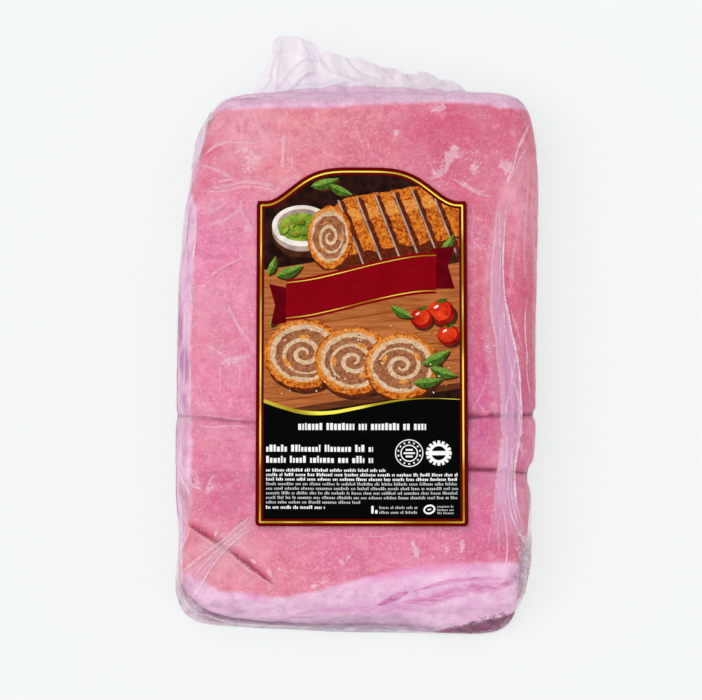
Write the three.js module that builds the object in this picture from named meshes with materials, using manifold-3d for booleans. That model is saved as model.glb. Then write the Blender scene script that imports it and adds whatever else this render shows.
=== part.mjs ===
// A slab of skin-on pork belly, vacuum packed in a clear bag, with a printed label on its skin side.
//
// Millimetres, +Z up. X runs across the slab and Y along it, +Y towards the gathered end of the bag.
// The origin is the middle of the flat underside. The skin side, with the label, faces up.

import * as THREE from 'three';
import Module from 'manifold-3d';

// The slab, with the bag drawn tight on it.
const SLAB_WIDTH = 170;
const SLAB_LENGTH = 258;
const SLAB_HEIGHT = 46;
const CROWN_DROP = 2.6; // how far the top has fallen at its edges
const CROWN_POWER = 4; // how long the top stays level before it falls
const CROWN_SHARE_ACROSS = 0.6; // share of that drop towards the long sides, the rest being towards the ends
const TOP_WAVE = 0.45; // height of the top's long, shallow waves
const TOP_WAVE_ACROSS = { length: 19, phase: 0.7 }; // length over 2 pi
const TOP_WAVE_ALONG = { length: 27, phase: -0.4 };
const NEAR_END_SKEW = 2.4; // the near end runs this far further out on the right, and back on the left
const SKEW_START = 40; // how far from the middle the skew begins

// Half widths along the slab, as [y, distance from the middle line]: its far left narrows, and its right
// side steps in beyond the second crease.
const LEFT_WIDTHS = [
  [-129, 85.2], [-108, 84.6], [-96, 83.8], [-82, 83.4], [-76, 84.2], [-68, 85.2], [-52, 85.4], [-40, 85.1],
  [18, 84.9], [38, 84.3], [57, 82.8], [70, 82.2], [81, 80.2], [97, 78.8], [112, 77.8], [117, 76.8], [122, 73], [129, 72],
];
const RIGHT_WIDTHS = [
  [-129, 76.3], [-104, 80.3], [-66, 81.2], [-58, 82], [-50, 83.2], [-38, 84], [8, 84.2], [30, 84.8],
  [50, 85.5], [75, 86.2], [97, 86], [116, 85.2], [129, 84.6],
];
const WIDTH_ROUNDING = 5; // the lines between those widths are rounded off this far to each side

// Sharpness of the four corners in plan: the exponent of a superellipse, larger for a tighter corner.
const CORNER_EXPONENTS = { nearLeft: 13, nearRight: 10.5, farLeft: 8, farRight: 12 };
const CORNER_SHARE = 0.9; // where sides and ends meet in the surface grid, as a share of the half length
const CORNER_CORE = 24; // the corners turn about a core that is this much smaller all round
const CORNER_EASING = 0.85; // how much of a corner's extra reach from that core the rim stands in by
const RIM_REACH = 0.55; // away from the near end, the rim stands in by at most this share of the reach

// Section of each side: how far the rim stands in from the widest line, how high that line is, and how
// round the shoulder between them is (1 is a straight bevel, 2 an ellipse).
const LEFT_SIDE = { rimInset: 7, beltHeight: 22, roundness: 1.6 };
const RIGHT_SIDE = { rimInset: 13, beltHeight: 25, roundness: 2.1 };
const FAR_END = { rimInsetLeft: 12.5, rimInsetRight: 8.5, beltHeight: 27, roundness: 1.5 };
const NEAR_END = { rimInsetLeft: 6.5, rimInsetRight: 22, beltLeft: 19, beltRight: 7, roundness: 1.5 };
const NEAR_RIM_TURN = [-35, 25]; // the near rim swings from its left inset to its right one between these x
const UNDER_INSET = 7; // the flat underside's edge, in from the widest line
const UNDER_ROUNDNESS = 2.4;

// Two cuts in the skin run right across the slab, each along a line of [x, y]. They also nick its sides.
const CREASES = [
  {
    y: -35.5,
    line: [
      [-85, -33.6], [-72, -34.4], [-62, -35.2], [-54, -36.6], [-46, -36.5],
      [0, -35.5], [52, -34.1], [61, -33.5], [85, -33.2],
    ],
    notch: { depth: 1.5, halfWidth: 2.4, leftShare: 0.4 },
  },
  {
    y: -60,
    line: [[-85, -61], [0, -60], [52, -58.7], [61, -59.2], [73, -60], [85, -62.6]],
    notch: { depth: 3.1, halfWidth: 4.5, leftShare: 0.1 },
  },
];
const CREASE_ROUNDING = 6;
const CREASE_DEPTH = 2.6;
const CREASE_HALF_WIDTH = 1.7;
const CREASE_SHOULDER = 7; // the skin sinks towards a crease from this far away
const CREASE_CUT_SHARE = 0.6; // share of the depth in the cut itself, the rest being in its shoulders
const CREASE_LEAN = 0.26; // a crease leans along the slab by this much for each millimetre down the side
const CREASE_LEAN_REACH = 12; // the side leans with it this far to each side of it
const CREASE_ROWS = [-8, -4.5, -2, 0, 2, 4.5, 8]; // grid rows beside each crease
const CREASE_CLEARANCE = 2.5; // least gap between those rows and the even ones
const NOTCH_END = 0.25; // the nicks in the sides fade out at this share of the belt's height

// A third cut runs diagonally over the near left corner, and fades out over the last share of its length.
const CORNER_CREASE = { from: [-81.5, -84.7], to: [-38.6, -115.3], bow: 2, depth: 2, halfWidth: 2.6, fade: 0.15 };

// A flattened pleat of the film runs down the right of the top: its middle line, as [y, x].
const PLEAT_LINE = [[-114, 82], [-75, 69.5], [-30, 67.5], [8, 61], [53, 64.5], [96, 79]];
const PLEAT_ROUNDING = 14;
const PLEAT_HALF_WIDTH = 4.2;
const PLEAT_FLAT_SHARE = 0.6; // the flat middle's share of that width
const PLEAT_HEIGHT = 0.9;
const PLEAT_NEAR_FADE = [-124, -108];
const PLEAT_FAR_FADE = [88, 104];

// Taut ridges of film fan out from the label's near left corner to the slab's corner.
const RIDGE_START = [-46, -84];
const RIDGE_ENDS = [[-86, -104], [-85, -113], [-80, -123]];
const RIDGE_HALF_WIDTH = 2.2;
const RIDGE_HEIGHT = 1.1;
const RIDGE_RISE = [0.05, 0.4]; // a ridge rises to its height between these shares of its length

// The gathered end of the bag: its ragged edge as [x, distance past the slab].
const TAIL_EDGE = [
  [-50.5, 1], [-46, 8], [-42.5, 15.5], [-40.8, 19], [-40, 26], [-38.4, 29], [-34.5, 31], [-27, 28], [-20, 26.3],
  [-16, 21.8], [-8, 20.2], [-4, 18.6], [0, 19.2], [7, 16.2], [11, 14.6], [15, 14], [22, 10.8], [30, 12], [34, 9.8],
  [45, 7.6], [50, 3.5], [53, 1],
];
const TAIL_ROOT_DEPTH = 12; // how far the gathered film starts inside the slab's far end
const TAIL_ROOT_HEIGHT = 30;
const TAIL_TIP_HEIGHT = 23;
const TAIL_THICKNESS = 1.4;
const TAIL_GATHER = { x: -35, pull: 0.22, rightShare: 0.25 }; // the folds run together towards this x
const TAIL_FOLD = { height: 2.6, length: 15.5, rootShare: 0.25 }; // lower at its root by rootShare
const TAIL_CRINKLE = { share: 0.5, length: 1.9, turn: 3 }; // a finer fold over it, which turns towards the edge
const TAIL_COLUMNS = 60;
const TAIL_ROWS = 6;

// The label: a thin arch-topped sheet that lies on the film over the middle of the skin.
const LABEL_WIDTH = 98.4;
const LABEL_CENTRE_X = 2.2;
const LABEL_NEAR_Y = -87.2;
const LABEL_SHOULDER_Y = 69.6;
const LABEL_ARCH_Y = 86.2;
const LABEL_STEP = 4; // the flat step at each shoulder, before the arch rises
const LABEL_ARCH_POWER = 1.9; // how broad the arch is before it falls to the shoulders
const LABEL_CORNER = 2;
const LABEL_THICKNESS = 0.4;
const LABEL_GAP = 0.3; // clearance to the film below it
const LABEL_ROWS = 16;
const LABEL_COLUMN_STEP = 4.6;
const LABEL_CORNER_CELL = 0.3; // width of the outermost cell, as a share of the corner's radius

// The surface grid: cell sizes, and where each zone of cells ends.
const MIDDLE_STEP = 8.5;
const NEAR_ZONE = { from: -92, step: 3.6 };
const FAR_ZONE = { from: 92, step: 5.4 };
const LEFT_ZONE = { from: -55, step: 4 };
const PLEAT_ZONE = { from: 56, step: 2.9 };
const ACROSS_BLEND = 25; // the rows' cells shift across to match the ends' over this length
const ALONG_BLEND = 70; // and the rows bend to match the ends' curves over this one
const SHOULDER_RINGS = 5;
const FOOT_RINGS = 3;

const HALF_WIDTH = SLAB_WIDTH / 2;
const HALF_LENGTH = SLAB_LENGTH / 2;

const { clamp, lerp, smoothstep } = THREE.MathUtils;

// Value at position t of the straight pieces through [position, value] pairs in rising order of position.
function valueAlong(pairs, t) {
  const last = pairs.length - 1;
  if (t <= pairs[0][0]) return pairs[0][1];
  if (t >= pairs[last][0]) return pairs[last][1];
  const i = pairs.findIndex((pair) => pair[0] > t) - 1;
  const [t0, v0] = pairs[i];
  const [t1, v1] = pairs[i + 1];
  return lerp(v0, v1, (t - t0) / (t1 - t0));
}

// The same line with its corners rounded off over the given reach to each side.
function roundedAlong(pairs, t, reach) {
  const shares = [-1, -0.5, 0, 0.5, 1];
  return shares.reduce((sum, share) => sum + valueAlong(pairs, t + share * reach), 0) / shares.length;
}

// How far (x, y) is from a straight segment, and how far along it the nearest point lies, from 0 to 1.
function segmentDistance(x, y, [x0, y0], [x1, y1]) {
  const along = ((x - x0) * (x1 - x0) + (y - y0) * (y1 - y0)) / ((x1 - x0) ** 2 + (y1 - y0) ** 2);
  const share = clamp(along, 0, 1);
  return { share, distance: Math.hypot(x - lerp(x0, x1, share), y - lerp(y0, y1, share)) };
}

// A bell of height 1 and the given half width.
function bell(distance, halfWidth) {
  return Math.exp(-((distance / halfWidth) ** 2));
}

// ---- Height of the top -------------------------------------------------------------------------

// The top without its creases and folds, which is also what the label lies along.
function smoothTop(x, y) {
  const across = (x / HALF_WIDTH) ** CROWN_POWER;
  const along = (y / HALF_LENGTH) ** CROWN_POWER;
  const waveAcross = Math.sin(x / TOP_WAVE_ACROSS.length + TOP_WAVE_ACROSS.phase);
  const waveAlong = Math.cos(y / TOP_WAVE_ALONG.length + TOP_WAVE_ALONG.phase);
  const crown = lerp(along, across, CROWN_SHARE_ACROSS);
  return SLAB_HEIGHT - CROWN_DROP * crown + TOP_WAVE * (waveAcross * waveAlong - 1);
}

// How far a crease's line is from its middle row at x.
function creaseOffset(crease, x) {
  return roundedAlong(crease.line, x, CREASE_ROUNDING) - crease.y;
}

function creaseDip(x, y) {
  let dip = 0;
  for (const crease of CREASES) {
    const distance = y - crease.y - creaseOffset(crease, x);
    const shoulder = bell(distance, CREASE_SHOULDER);
    dip += CREASE_DEPTH * lerp(shoulder, bell(distance, CREASE_HALF_WIDTH), CREASE_CUT_SHARE);
  }
  const { from, to, bow, depth, halfWidth, fade } = CORNER_CREASE;
  const bowed = y - bow * Math.sin(Math.PI * clamp((x - from[0]) / (to[0] - from[0]), 0, 1));
  const { share, distance } = segmentDistance(x, bowed, from, to);
  return dip + depth * smoothstep(1 - share, 0, fade) * bell(distance, halfWidth);
}

function foldRise(x, y) {
  const fromPleat = Math.abs(x - roundedAlong(PLEAT_LINE, y, PLEAT_ROUNDING));
  const ends = smoothstep(y, ...PLEAT_NEAR_FADE) * (1 - smoothstep(y, ...PLEAT_FAR_FADE));
  const beside = smoothstep(fromPleat, PLEAT_FLAT_SHARE * PLEAT_HALF_WIDTH, PLEAT_HALF_WIDTH);
  let rise = PLEAT_HEIGHT * ends * (1 - beside);
  for (const end of RIDGE_ENDS) {
    const { share, distance } = segmentDistance(x, y, RIDGE_START, end);
    rise += RIDGE_HEIGHT * smoothstep(share, ...RIDGE_RISE) * bell(distance, RIDGE_HALF_WIDTH);
  }
  return rise;
}

function topHeight(x, y) {
  return smoothTop(x, y) - creaseDip(x, y) + foldRise(x, y);
}

// ---- Outline in plan ---------------------------------------------------------------------------

function cornerExponent(x, y) {
  if (y < 0) return x < 0 ? CORNER_EXPONENTS.nearLeft : CORNER_EXPONENTS.nearRight;
  return x < 0 ? CORNER_EXPONENTS.farLeft : CORNER_EXPONENTS.farRight;
}

// On a unit superellipse, the coordinate that goes with the other one.
function superellipse(share, exponent) {
  return (1 - Math.abs(share) ** exponent) ** (1 / exponent);
}

function outlineX(side, y) {
  const halfWidth = roundedAlong(side < 0 ? LEFT_WIDTHS : RIGHT_WIDTHS, y, WIDTH_ROUNDING);
  return side * halfWidth * superellipse(y / HALF_LENGTH, cornerExponent(side, y));
}

function outlineY(end, x) {
  const exponent = cornerExponent(x, end);
  const cornerHalfWidth = Math.abs(cornerX(Math.sign(x) || 1, end)) / superellipse(CORNER_SHARE, exponent);
  return end * HALF_LENGTH * superellipse(x / cornerHalfWidth, exponent);
}

// x of the corner between a side and an end.
function cornerX(side, end) {
  return outlineX(side, end * CORNER_SHARE * HALF_LENGTH);
}

// From the nearest point of the core to a point of the outline.
function fromCore(point) {
  const coreX = clamp(point.x, CORNER_CORE - HALF_WIDTH, HALF_WIDTH - CORNER_CORE);
  const coreY = clamp(point.y, CORNER_CORE - HALF_LENGTH, HALF_LENGTH - CORNER_CORE);
  return new THREE.Vector2(point.x - coreX, point.y - coreY);
}

// ---- Section of the sides ----------------------------------------------------------------------

// The section at a point of the outline, mixed from the side's and the end's by which way it faces.
function sectionAt(point) {
  const reach = fromCore(point).length();
  const out = fromCore(point).normalize();
  const side = out.x < 0 ? LEFT_SIDE : RIGHT_SIDE;
  const across = (point.x + HALF_WIDTH) / SLAB_WIDTH;
  const turn = smoothstep(point.x, ...NEAR_RIM_TURN);
  const near = {
    rimInset: lerp(NEAR_END.rimInsetLeft, NEAR_END.rimInsetRight, turn),
    beltHeight: lerp(NEAR_END.beltLeft, NEAR_END.beltRight, clamp(across, 0, 1)),
    roundness: NEAR_END.roundness,
  };
  const far = {
    rimInset: lerp(FAR_END.rimInsetLeft, FAR_END.rimInsetRight, clamp(across, 0, 1)),
    beltHeight: FAR_END.beltHeight,
    roundness: FAR_END.roundness,
  };
  const end = out.y < 0 ? near : far;
  const endShare = out.y ** 2;
  const rimInset = lerp(side.rimInset, end.rimInset, endShare) + CORNER_EASING * Math.max(0, reach - CORNER_CORE);
  return {
    out,
    rimInset: out.y < 0 ? rimInset : Math.min(rimInset, RIM_REACH * reach),
    beltHeight: lerp(side.beltHeight, end.beltHeight, endShare),
    roundness: lerp(side.roundness, end.roundness, endShare),
    notch: creaseNotch(point) * (1 - endShare),
  };
}

// How deep the creases nick the slab's long sides.
function creaseNotch({ x, y }) {
  return CREASES.reduce((sum, crease) => {
    const { depth, halfWidth, leftShare } = crease.notch;
    const share = x < 0 ? leftShare : 1;
    return sum + share * depth * bell(y - crease.y - creaseOffset(crease, x), halfWidth);
  }, 0);
}

// How far the rows near a crease lean along the slab for each millimetre down the side.
function creaseLean({ x, y }) {
  if (Math.abs(x) < HALF_WIDTH - CORNER_CORE) return 0;
  return CREASES.reduce((sum, crease) => {
    return sum + CREASE_LEAN * bell(y - crease.y - creaseOffset(crease, x), CREASE_LEAN_REACH);
  }, 0);
}

// Point of the rim, where the top turns over into the side.
function rimPoint(point) {
  const section = sectionAt(point);
  const rim = point.clone().addScaledVector(section.out, -section.rimInset - section.notch);
  return new THREE.Vector3(rim.x, rim.y, topHeight(rim.x, rim.y));
}

// Points down the side from the rim, not included, to the flat underside.
function sidePoints(point) {
  const section = sectionAt(point);
  const rim = rimPoint(point);
  const points = [];
  for (let ring = 1; ring <= SHOULDER_RINGS + FOOT_RINGS; ring++) {
    let inset;
    let z;
    if (ring <= SHOULDER_RINGS) {
      const angle = (Math.PI / 2) * (ring / SHOULDER_RINGS);
      const power = 2 / section.roundness;
      inset = section.rimInset * (1 - Math.sin(angle) ** power);
      z = lerp(section.beltHeight, rim.z, Math.max(0, Math.cos(angle)) ** power);
    } else {
      const angle = (Math.PI / 2) * ((ring - SHOULDER_RINGS) / FOOT_RINGS);
      const power = 2 / UNDER_ROUNDNESS;
      inset = UNDER_INSET * (1 - Math.max(0, Math.cos(angle)) ** power);
      z = section.beltHeight * (1 - Math.sin(angle) ** power);
    }
    const notch = section.notch * smoothstep(z / section.beltHeight, NOTCH_END, 1);
    const place = point.clone().addScaledVector(section.out, -inset - notch);
    place.y += creaseLean(point) * (rim.z - z);
    points.push(new THREE.Vector3(place.x, place.y, ring === SHOULDER_RINGS + FOOT_RINGS ? 0 : z));
  }
  return points;
}

// ---- The slab ----------------------------------------------------------------------------------

// Positions from low to high, in steps that suit each zone given as [zone's end, step].
function gridLines(low, zones) {
  const lines = [low];
  let start = low;
  for (const [end, step] of zones) {
    const count = Math.max(1, Math.round((end - start) / step));
    for (let k = 1; k <= count; k++) lines.push(lerp(start, end, k / count));
    start = end;
  }
  return lines;
}

function rowLines() {
  const end = CORNER_SHARE * HALF_LENGTH;
  const zones = [[NEAR_ZONE.from, NEAR_ZONE.step], [FAR_ZONE.from, MIDDLE_STEP], [end, FAR_ZONE.step]];
  const even = gridLines(-end, zones);
  const reach = Math.max(...CREASE_ROWS) + CREASE_CLEARANCE;
  const rows = even.filter((y) => CREASES.every((crease) => Math.abs(y - crease.y) > reach));
  for (const crease of CREASES) {
    for (const offset of CREASE_ROWS) rows.push(crease.y + offset);
  }
  return rows.sort((a, b) => a - b);
}

function columnLines() {
  const right = [HALF_WIDTH, PLEAT_ZONE.step];
  return gridLines(-HALF_WIDTH, [[LEFT_ZONE.from, LEFT_ZONE.step], [PLEAT_ZONE.from, MIDDLE_STEP], right]);
}

// How far a row of the grid shifts along the slab at x, so that the rows beside a crease follow it.
function rowShift(x, row) {
  return CREASES.reduce((sum, crease) => {
    return sum + creaseOffset(crease, x) * bell(row - crease.y, CREASE_SHOULDER);
  }, 0);
}

// Point of the outline where a row meets a long side.
function sideOutline(side, row) {
  const y = row + rowShift(side * HALF_WIDTH, row);
  return new THREE.Vector2(outlineX(side, y), y);
}

// Point of the outline where a column meets an end, so that the columns spread evenly between its corners.
function endOutline(column, end) {
  const x = Math.abs(column / HALF_WIDTH) * cornerX(Math.sign(column) || 1, end);
  return new THREE.Vector2(x, outlineY(end, x));
}

// Grid of top points, one array for each row. The rows run straight between the two side rims, and bend
// towards the ends to meet their rims.
function topGrid(columns, rows) {
  const lastRow = rows.length - 1;
  const rims = rows.map((row) => [-1, 1].map((side) => rimPoint(sideOutline(side, row))));
  const ends = [-1, 1].map((end) => columns.map((column) => rimPoint(endOutline(column, end))));
  const straight = (i, j) => {
    const [left, right] = rims[j];
    return left.clone().lerp(right, (columns[i] + HALF_WIDTH) / SLAB_WIDTH);
  };
  const gaps = ends.map((rim, end) => rim.map((point, i) => point.clone().sub(straight(i, end * lastRow))));
  return rows.map((row, j) => columns.map((column, i) => {
    if (j === 0) return ends[0][i];
    if (j === lastRow) return ends[1][i];
    const place = straight(i, j);
    if (i === 0 || i === columns.length - 1) return place;
    for (const [gap, away] of [[gaps[0][i], row - rows[0]], [gaps[1][i], rows[lastRow] - row]]) {
      place.x += gap.x * (1 - smoothstep(away, 0, ACROSS_BLEND));
      place.y += gap.y * (1 - smoothstep(away, 0, ALONG_BLEND));
    }
    const across = (column + HALF_WIDTH) / SLAB_WIDTH;
    place.y += rowShift(place.x, row) - lerp(rowShift(-HALF_WIDTH, row), rowShift(HALF_WIDTH, row), across);
    place.z = topHeight(place.x, place.y);
    return place;
  }));
}

// The outline's points in the order of the grid's border, anticlockwise from the near left corner.
function borderPoints(columns, rows) {
  const near = columns.map((column) => endOutline(column, -1));
  const right = rows.map((row) => sideOutline(1, row));
  const far = columns.map((column) => endOutline(column, 1)).reverse();
  const left = rows.map((row) => sideOutline(-1, row)).reverse();
  return [near, right, far, left].flatMap((edge) => edge.slice(0, -1));
}

function borderIndices(columnCount, rowCount) {
  const indices = [];
  for (let i = 0; i < columnCount - 1; i++) indices.push(i);
  for (let j = 0; j < rowCount - 1; j++) indices.push(j * columnCount + columnCount - 1);
  for (let i = columnCount - 1; i > 0; i--) indices.push((rowCount - 1) * columnCount + i);
  for (let j = rowCount - 1; j > 0; j--) indices.push(j * columnCount);
  return indices;
}

// Two triangles for the cell between two neighbouring lines of points.
function addCell(triangles, a, b, c, d) {
  triangles.push([a, b, c], [a, c, d]);
}

function slabMesh() {
  const columns = columnLines();
  const rows = rowLines();
  const points = topGrid(columns, rows).flat();
  const triangles = [];
  for (let j = 0; j < rows.length - 1; j++) {
    for (let i = 0; i < columns.length - 1; i++) {
      const k = j * columns.length + i;
      addCell(triangles, k, k + 1, k + 1 + columns.length, k + columns.length);
    }
  }
  let upper = borderIndices(columns.length, rows.length);
  const sides = borderPoints(columns, rows).map(sidePoints);
  for (let ring = 0; ring < SHOULDER_RINGS + FOOT_RINGS; ring++) {
    const lower = sides.map((side) => points.push(side[ring]) - 1);
    upper.forEach((top, k) => {
      const next = (k + 1) % upper.length;
      addCell(triangles, lower[k], lower[next], upper[next], top);
    });
    upper = lower;
  }
  const middle = points.push(new THREE.Vector3(0, 0, 0)) - 1;
  upper.forEach((foot, k) => triangles.push([foot, middle, upper[(k + 1) % upper.length]]));
  for (const point of points) {
    point.y -= NEAR_END_SKEW * (point.x / HALF_WIDTH) * smoothstep(-point.y, SKEW_START, HALF_LENGTH);
  }
  return { points, triangles };
}

// ---- Sheets ------------------------------------------------------------------------------------

// A closed thin sheet: lowPoint(i, j) and highPoint(i, j) give the two faces of a grid of cells.
function sheetMesh(columnCount, rowCount, lowPoint, highPoint) {
  const points = [];
  const triangles = [];
  const across = columnCount + 1;
  const layer = across * (rowCount + 1);
  for (const pointOf of [lowPoint, highPoint]) {
    for (let j = 0; j <= rowCount; j++) {
      for (let i = 0; i <= columnCount; i++) points.push(pointOf(i, j));
    }
  }
  for (let j = 0; j < rowCount; j++) {
    for (let i = 0; i < columnCount; i++) {
      const k = j * across + i;
      addCell(triangles, k + layer, k + 1 + layer, k + 1 + across + layer, k + across + layer);
      addCell(triangles, k, k + across, k + 1 + across, k + 1);
    }
  }
  const border = borderIndices(across, rowCount + 1);
  border.forEach((a, k) => {
    const b = border[(k + 1) % border.length];
    addCell(triangles, a, b, b + layer, a + layer);
  });
  return { points, triangles };
}

// Middle surface of the gathered film, from its root inside the slab to its ragged edge.
function tailPoint(i, j) {
  const edgeX = lerp(TAIL_EDGE[0][0], TAIL_EDGE.at(-1)[0], i / TAIL_COLUMNS);
  const share = j / TAIL_ROWS;
  const gather = TAIL_GATHER.pull * (TAIL_GATHER.x - edgeX) * (1 - share);
  const x = edgeX - gather * (edgeX < TAIL_GATHER.x ? 1 : TAIL_GATHER.rightShare);
  const y = HALF_LENGTH + lerp(-TAIL_ROOT_DEPTH, valueAlong(TAIL_EDGE, edgeX), share);
  const crinkle = TAIL_CRINKLE.share * Math.sin(edgeX / TAIL_CRINKLE.length + TAIL_CRINKLE.turn * share);
  const fold = Math.sin((2 * Math.PI * edgeX) / TAIL_FOLD.length) + crinkle;
  const height = TAIL_FOLD.height * lerp(TAIL_FOLD.rootShare, 1, share);
  return new THREE.Vector3(x, y, lerp(TAIL_ROOT_HEIGHT, TAIL_TIP_HEIGHT, share) + height * fold);
}

function tailMesh() {
  const half = new THREE.Vector3(0, 0, TAIL_THICKNESS / 2);
  const face = (lift) => (i, j) => tailPoint(i, j).addScaledVector(half, lift);
  return sheetMesh(TAIL_COLUMNS, TAIL_ROWS, face(-1), face(1));
}

// ---- The label ---------------------------------------------------------------------------------

// Far edge of the label: a flat step at each shoulder, then an S-curve up to the round arch.
function labelFarEdge(fromCentre) {
  const rise = LABEL_ARCH_Y - LABEL_SHOULDER_Y;
  const arch = LABEL_WIDTH / 2 - LABEL_STEP;
  const share = clamp(Math.abs(fromCentre) / arch, 0, 1);
  return LABEL_SHOULDER_Y + rise * (0.5 + 0.5 * Math.cos(Math.PI * share ** LABEL_ARCH_POWER));
}

// How far an edge of the label is cut back near its corners.
function cornerCut(fromCentre) {
  const into = clamp(Math.abs(fromCentre) - (LABEL_WIDTH / 2 - LABEL_CORNER), 0, LABEL_CORNER);
  return LABEL_CORNER - Math.sqrt(LABEL_CORNER ** 2 - into ** 2);
}

function labelColumns() {
  const half = LABEL_WIDTH / 2;
  const inner = half - LABEL_CORNER;
  const corner = [half, half - LABEL_CORNER_CELL * LABEL_CORNER, inner];
  const middle = gridLines(-inner, [[inner, LABEL_COLUMN_STEP]]).slice(1, -1);
  return [...corner.map((x) => -x), ...middle, ...corner.reverse()];
}

function labelMesh() {
  const columns = labelColumns();
  const pointAt = (lift) => (i, j) => {
    const fromCentre = columns[i];
    const near = LABEL_NEAR_Y + cornerCut(fromCentre);
    const far = labelFarEdge(fromCentre) - cornerCut(fromCentre);
    const x = LABEL_CENTRE_X + fromCentre;
    const y = lerp(near, far, j / LABEL_ROWS);
    return new THREE.Vector3(x, y, smoothTop(x, y) + lift);
  };
  return sheetMesh(columns.length - 1, LABEL_ROWS, pointAt(LABEL_GAP), pointAt(LABEL_GAP + LABEL_THICKNESS));
}

// ---- Solids ------------------------------------------------------------------------------------

const wasm = await Module();
wasm.setup();

function toSolid({ points, triangles }) {
  const vertProperties = new Float32Array(points.flatMap((point) => [point.x, point.y, point.z]));
  const triVerts = new Uint32Array(triangles.flat());
  return new wasm.Manifold(new wasm.Mesh({ numProp: 3, vertProperties, triVerts }));
}

function toGeometry(solid) {
  const mesh = solid.getMesh();
  const geometry = new THREE.BufferGeometry();
  geometry.setAttribute('position', new THREE.BufferAttribute(new Float32Array(mesh.vertProperties), 3));
  geometry.setIndex(new THREE.BufferAttribute(new Uint32Array(mesh.triVerts), 1));
  geometry.computeVertexNormals();
  return geometry;
}

const FILM_OVER_SKIN = new THREE.MeshStandardMaterial({ color: 0xe08fa4, roughness: 0.28, metalness: 0 });
const LABEL_PRINT = new THREE.MeshStandardMaterial({ color: 0x5a1416, roughness: 0.35, metalness: 0 });

function namedMesh(name, solid, material) {
  const mesh = new THREE.Mesh(toGeometry(solid), material);
  mesh.name = name;
  return mesh;
}

const group = new THREE.Group();
group.add(namedMesh('sealed_slab', toSolid(slabMesh()).add(toSolid(tailMesh())), FILM_OVER_SKIN));
group.add(namedMesh('label', toSolid(labelMesh()), LABEL_PRINT));

export default group;
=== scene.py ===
"""A slab of skin-on pork belly, vacuum packed in a clear bag, with a printed label on its skin side.

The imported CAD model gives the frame, in metres. Shapes are worked out here in millimetres in that frame:
X across the slab, Y along it towards the gathered end of the bag, Z up, the underside on Z = 0.
"""
import math

import bpy
import numpy as np
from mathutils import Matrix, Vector
from mathutils.bvhtree import BVHTree
from mathutils.geometry import delaunay_2d_cdt


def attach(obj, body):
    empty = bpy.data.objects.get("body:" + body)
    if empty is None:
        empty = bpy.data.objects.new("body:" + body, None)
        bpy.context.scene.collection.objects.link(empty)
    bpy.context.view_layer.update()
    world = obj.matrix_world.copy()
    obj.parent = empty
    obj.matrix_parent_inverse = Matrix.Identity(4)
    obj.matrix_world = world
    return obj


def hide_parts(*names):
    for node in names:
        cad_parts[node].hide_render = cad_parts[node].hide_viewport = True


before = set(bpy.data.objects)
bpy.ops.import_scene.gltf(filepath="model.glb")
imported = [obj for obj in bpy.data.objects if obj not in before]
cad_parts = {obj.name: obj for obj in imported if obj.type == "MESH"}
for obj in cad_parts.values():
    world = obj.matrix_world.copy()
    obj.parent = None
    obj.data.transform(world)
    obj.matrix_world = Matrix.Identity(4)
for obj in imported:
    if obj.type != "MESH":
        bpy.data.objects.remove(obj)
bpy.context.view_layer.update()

MM = 0.001

# ---- The slab's own dimensions, as in the CAD model -----------------------------------------------

SLAB_WIDTH, SLAB_LENGTH, SLAB_HEIGHT = 170.0, 258.0, 46.0
HALF_WIDTH, HALF_LENGTH = SLAB_WIDTH / 2, SLAB_LENGTH / 2
CROWN_DROP, CROWN_ACROSS, CROWN_ALONG = 2.6, 0.6, 0.4  # drop at the top's corners, and its shares each way
TOP_WAVE, WAVE_ACROSS, WAVE_ALONG = 0.45, (19, 0.7), (27, -0.4)  # height; length over 2 pi and start each way
NEAR_END_SKEW, SKEW_START = 2.4, 40  # how far the near end is out of square, and where that begins
# Half widths along the slab, as (y, half width).
LEFT_WIDTHS = [
    (-129, 85.2), (-108, 84.6), (-96, 83.8), (-82, 83.4), (-76, 84.2), (-68, 85.2), (-52, 85.4), (-40, 85.1),
    (18, 84.9), (38, 84.3), (57, 82.8), (70, 82.2), (81, 80.2), (97, 78.8), (112, 77.8), (117, 76.8), (122, 73),
    (129, 72),
]
RIGHT_WIDTHS = [
    (-129, 76.3), (-104, 80.3), (-66, 81.2), (-58, 82), (-50, 83.2), (-38, 84), (8, 84.2), (30, 84.8), (50, 85.5),
    (75, 86.2), (97, 86), (116, 85.2), (129, 84.6),
]
WIDTH_ROUNDING = 5
CORNER_EXPONENTS = {(-1, -1): 13, (1, -1): 10.5, (-1, 1): 8, (1, 1): 12}
CORNER_SHARE, CORNER_CORE, CORNER_EASING = 0.9, 24, 0.85
RIM_REACH = 0.55  # away from the near end, the rim's inset is at most this share of the reach from the core
LEFT_SIDE, RIGHT_SIDE = (7, 22, 1.6), (13, 25, 2.1)  # rim's inset, belt's height, roundness
FAR_RIM, FAR_BELT, NEAR_RIM, NEAR_BELT, END_ROUNDNESS = (12.5, 8.5), 27, (6.5, 22), (19, 7), 1.5
NEAR_RIM_TURN = (-35, 25)
UNDER_INSET, UNDER_ROUNDNESS = 7, 2.4
CREASE_Y = (-35.5, -60.0)
CREASE_NOTCH = ((1.5, 2.4, 0.4), (3.1, 4.5, 0.1))  # depth and half width of the nicks, and the left one's share
CREASE_LINES = (
    [(-85, -33.6), (-72, -34.4), (-62, -35.2), (-54, -36.6), (-46, -36.5), (0, -35.5), (52, -34.1), (61, -33.5),
     (85, -33.2)],
    [(-85, -61), (0, -60), (52, -58.7), (61, -59.2), (73, -60), (85, -62.6)],
)
CREASE_ROUNDING, CREASE_DEPTH, CREASE_SHOULDER = 6, 2.6, 7
CREASE_LEAN, CREASE_LEAN_REACH = 0.26, 12
CREASE_CUT_WIDTH = 1.1
CREASE_LEFT_CUT = (0.6, 0.15)  # how deep the sharp cut is at the left, against 1 at the right
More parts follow.
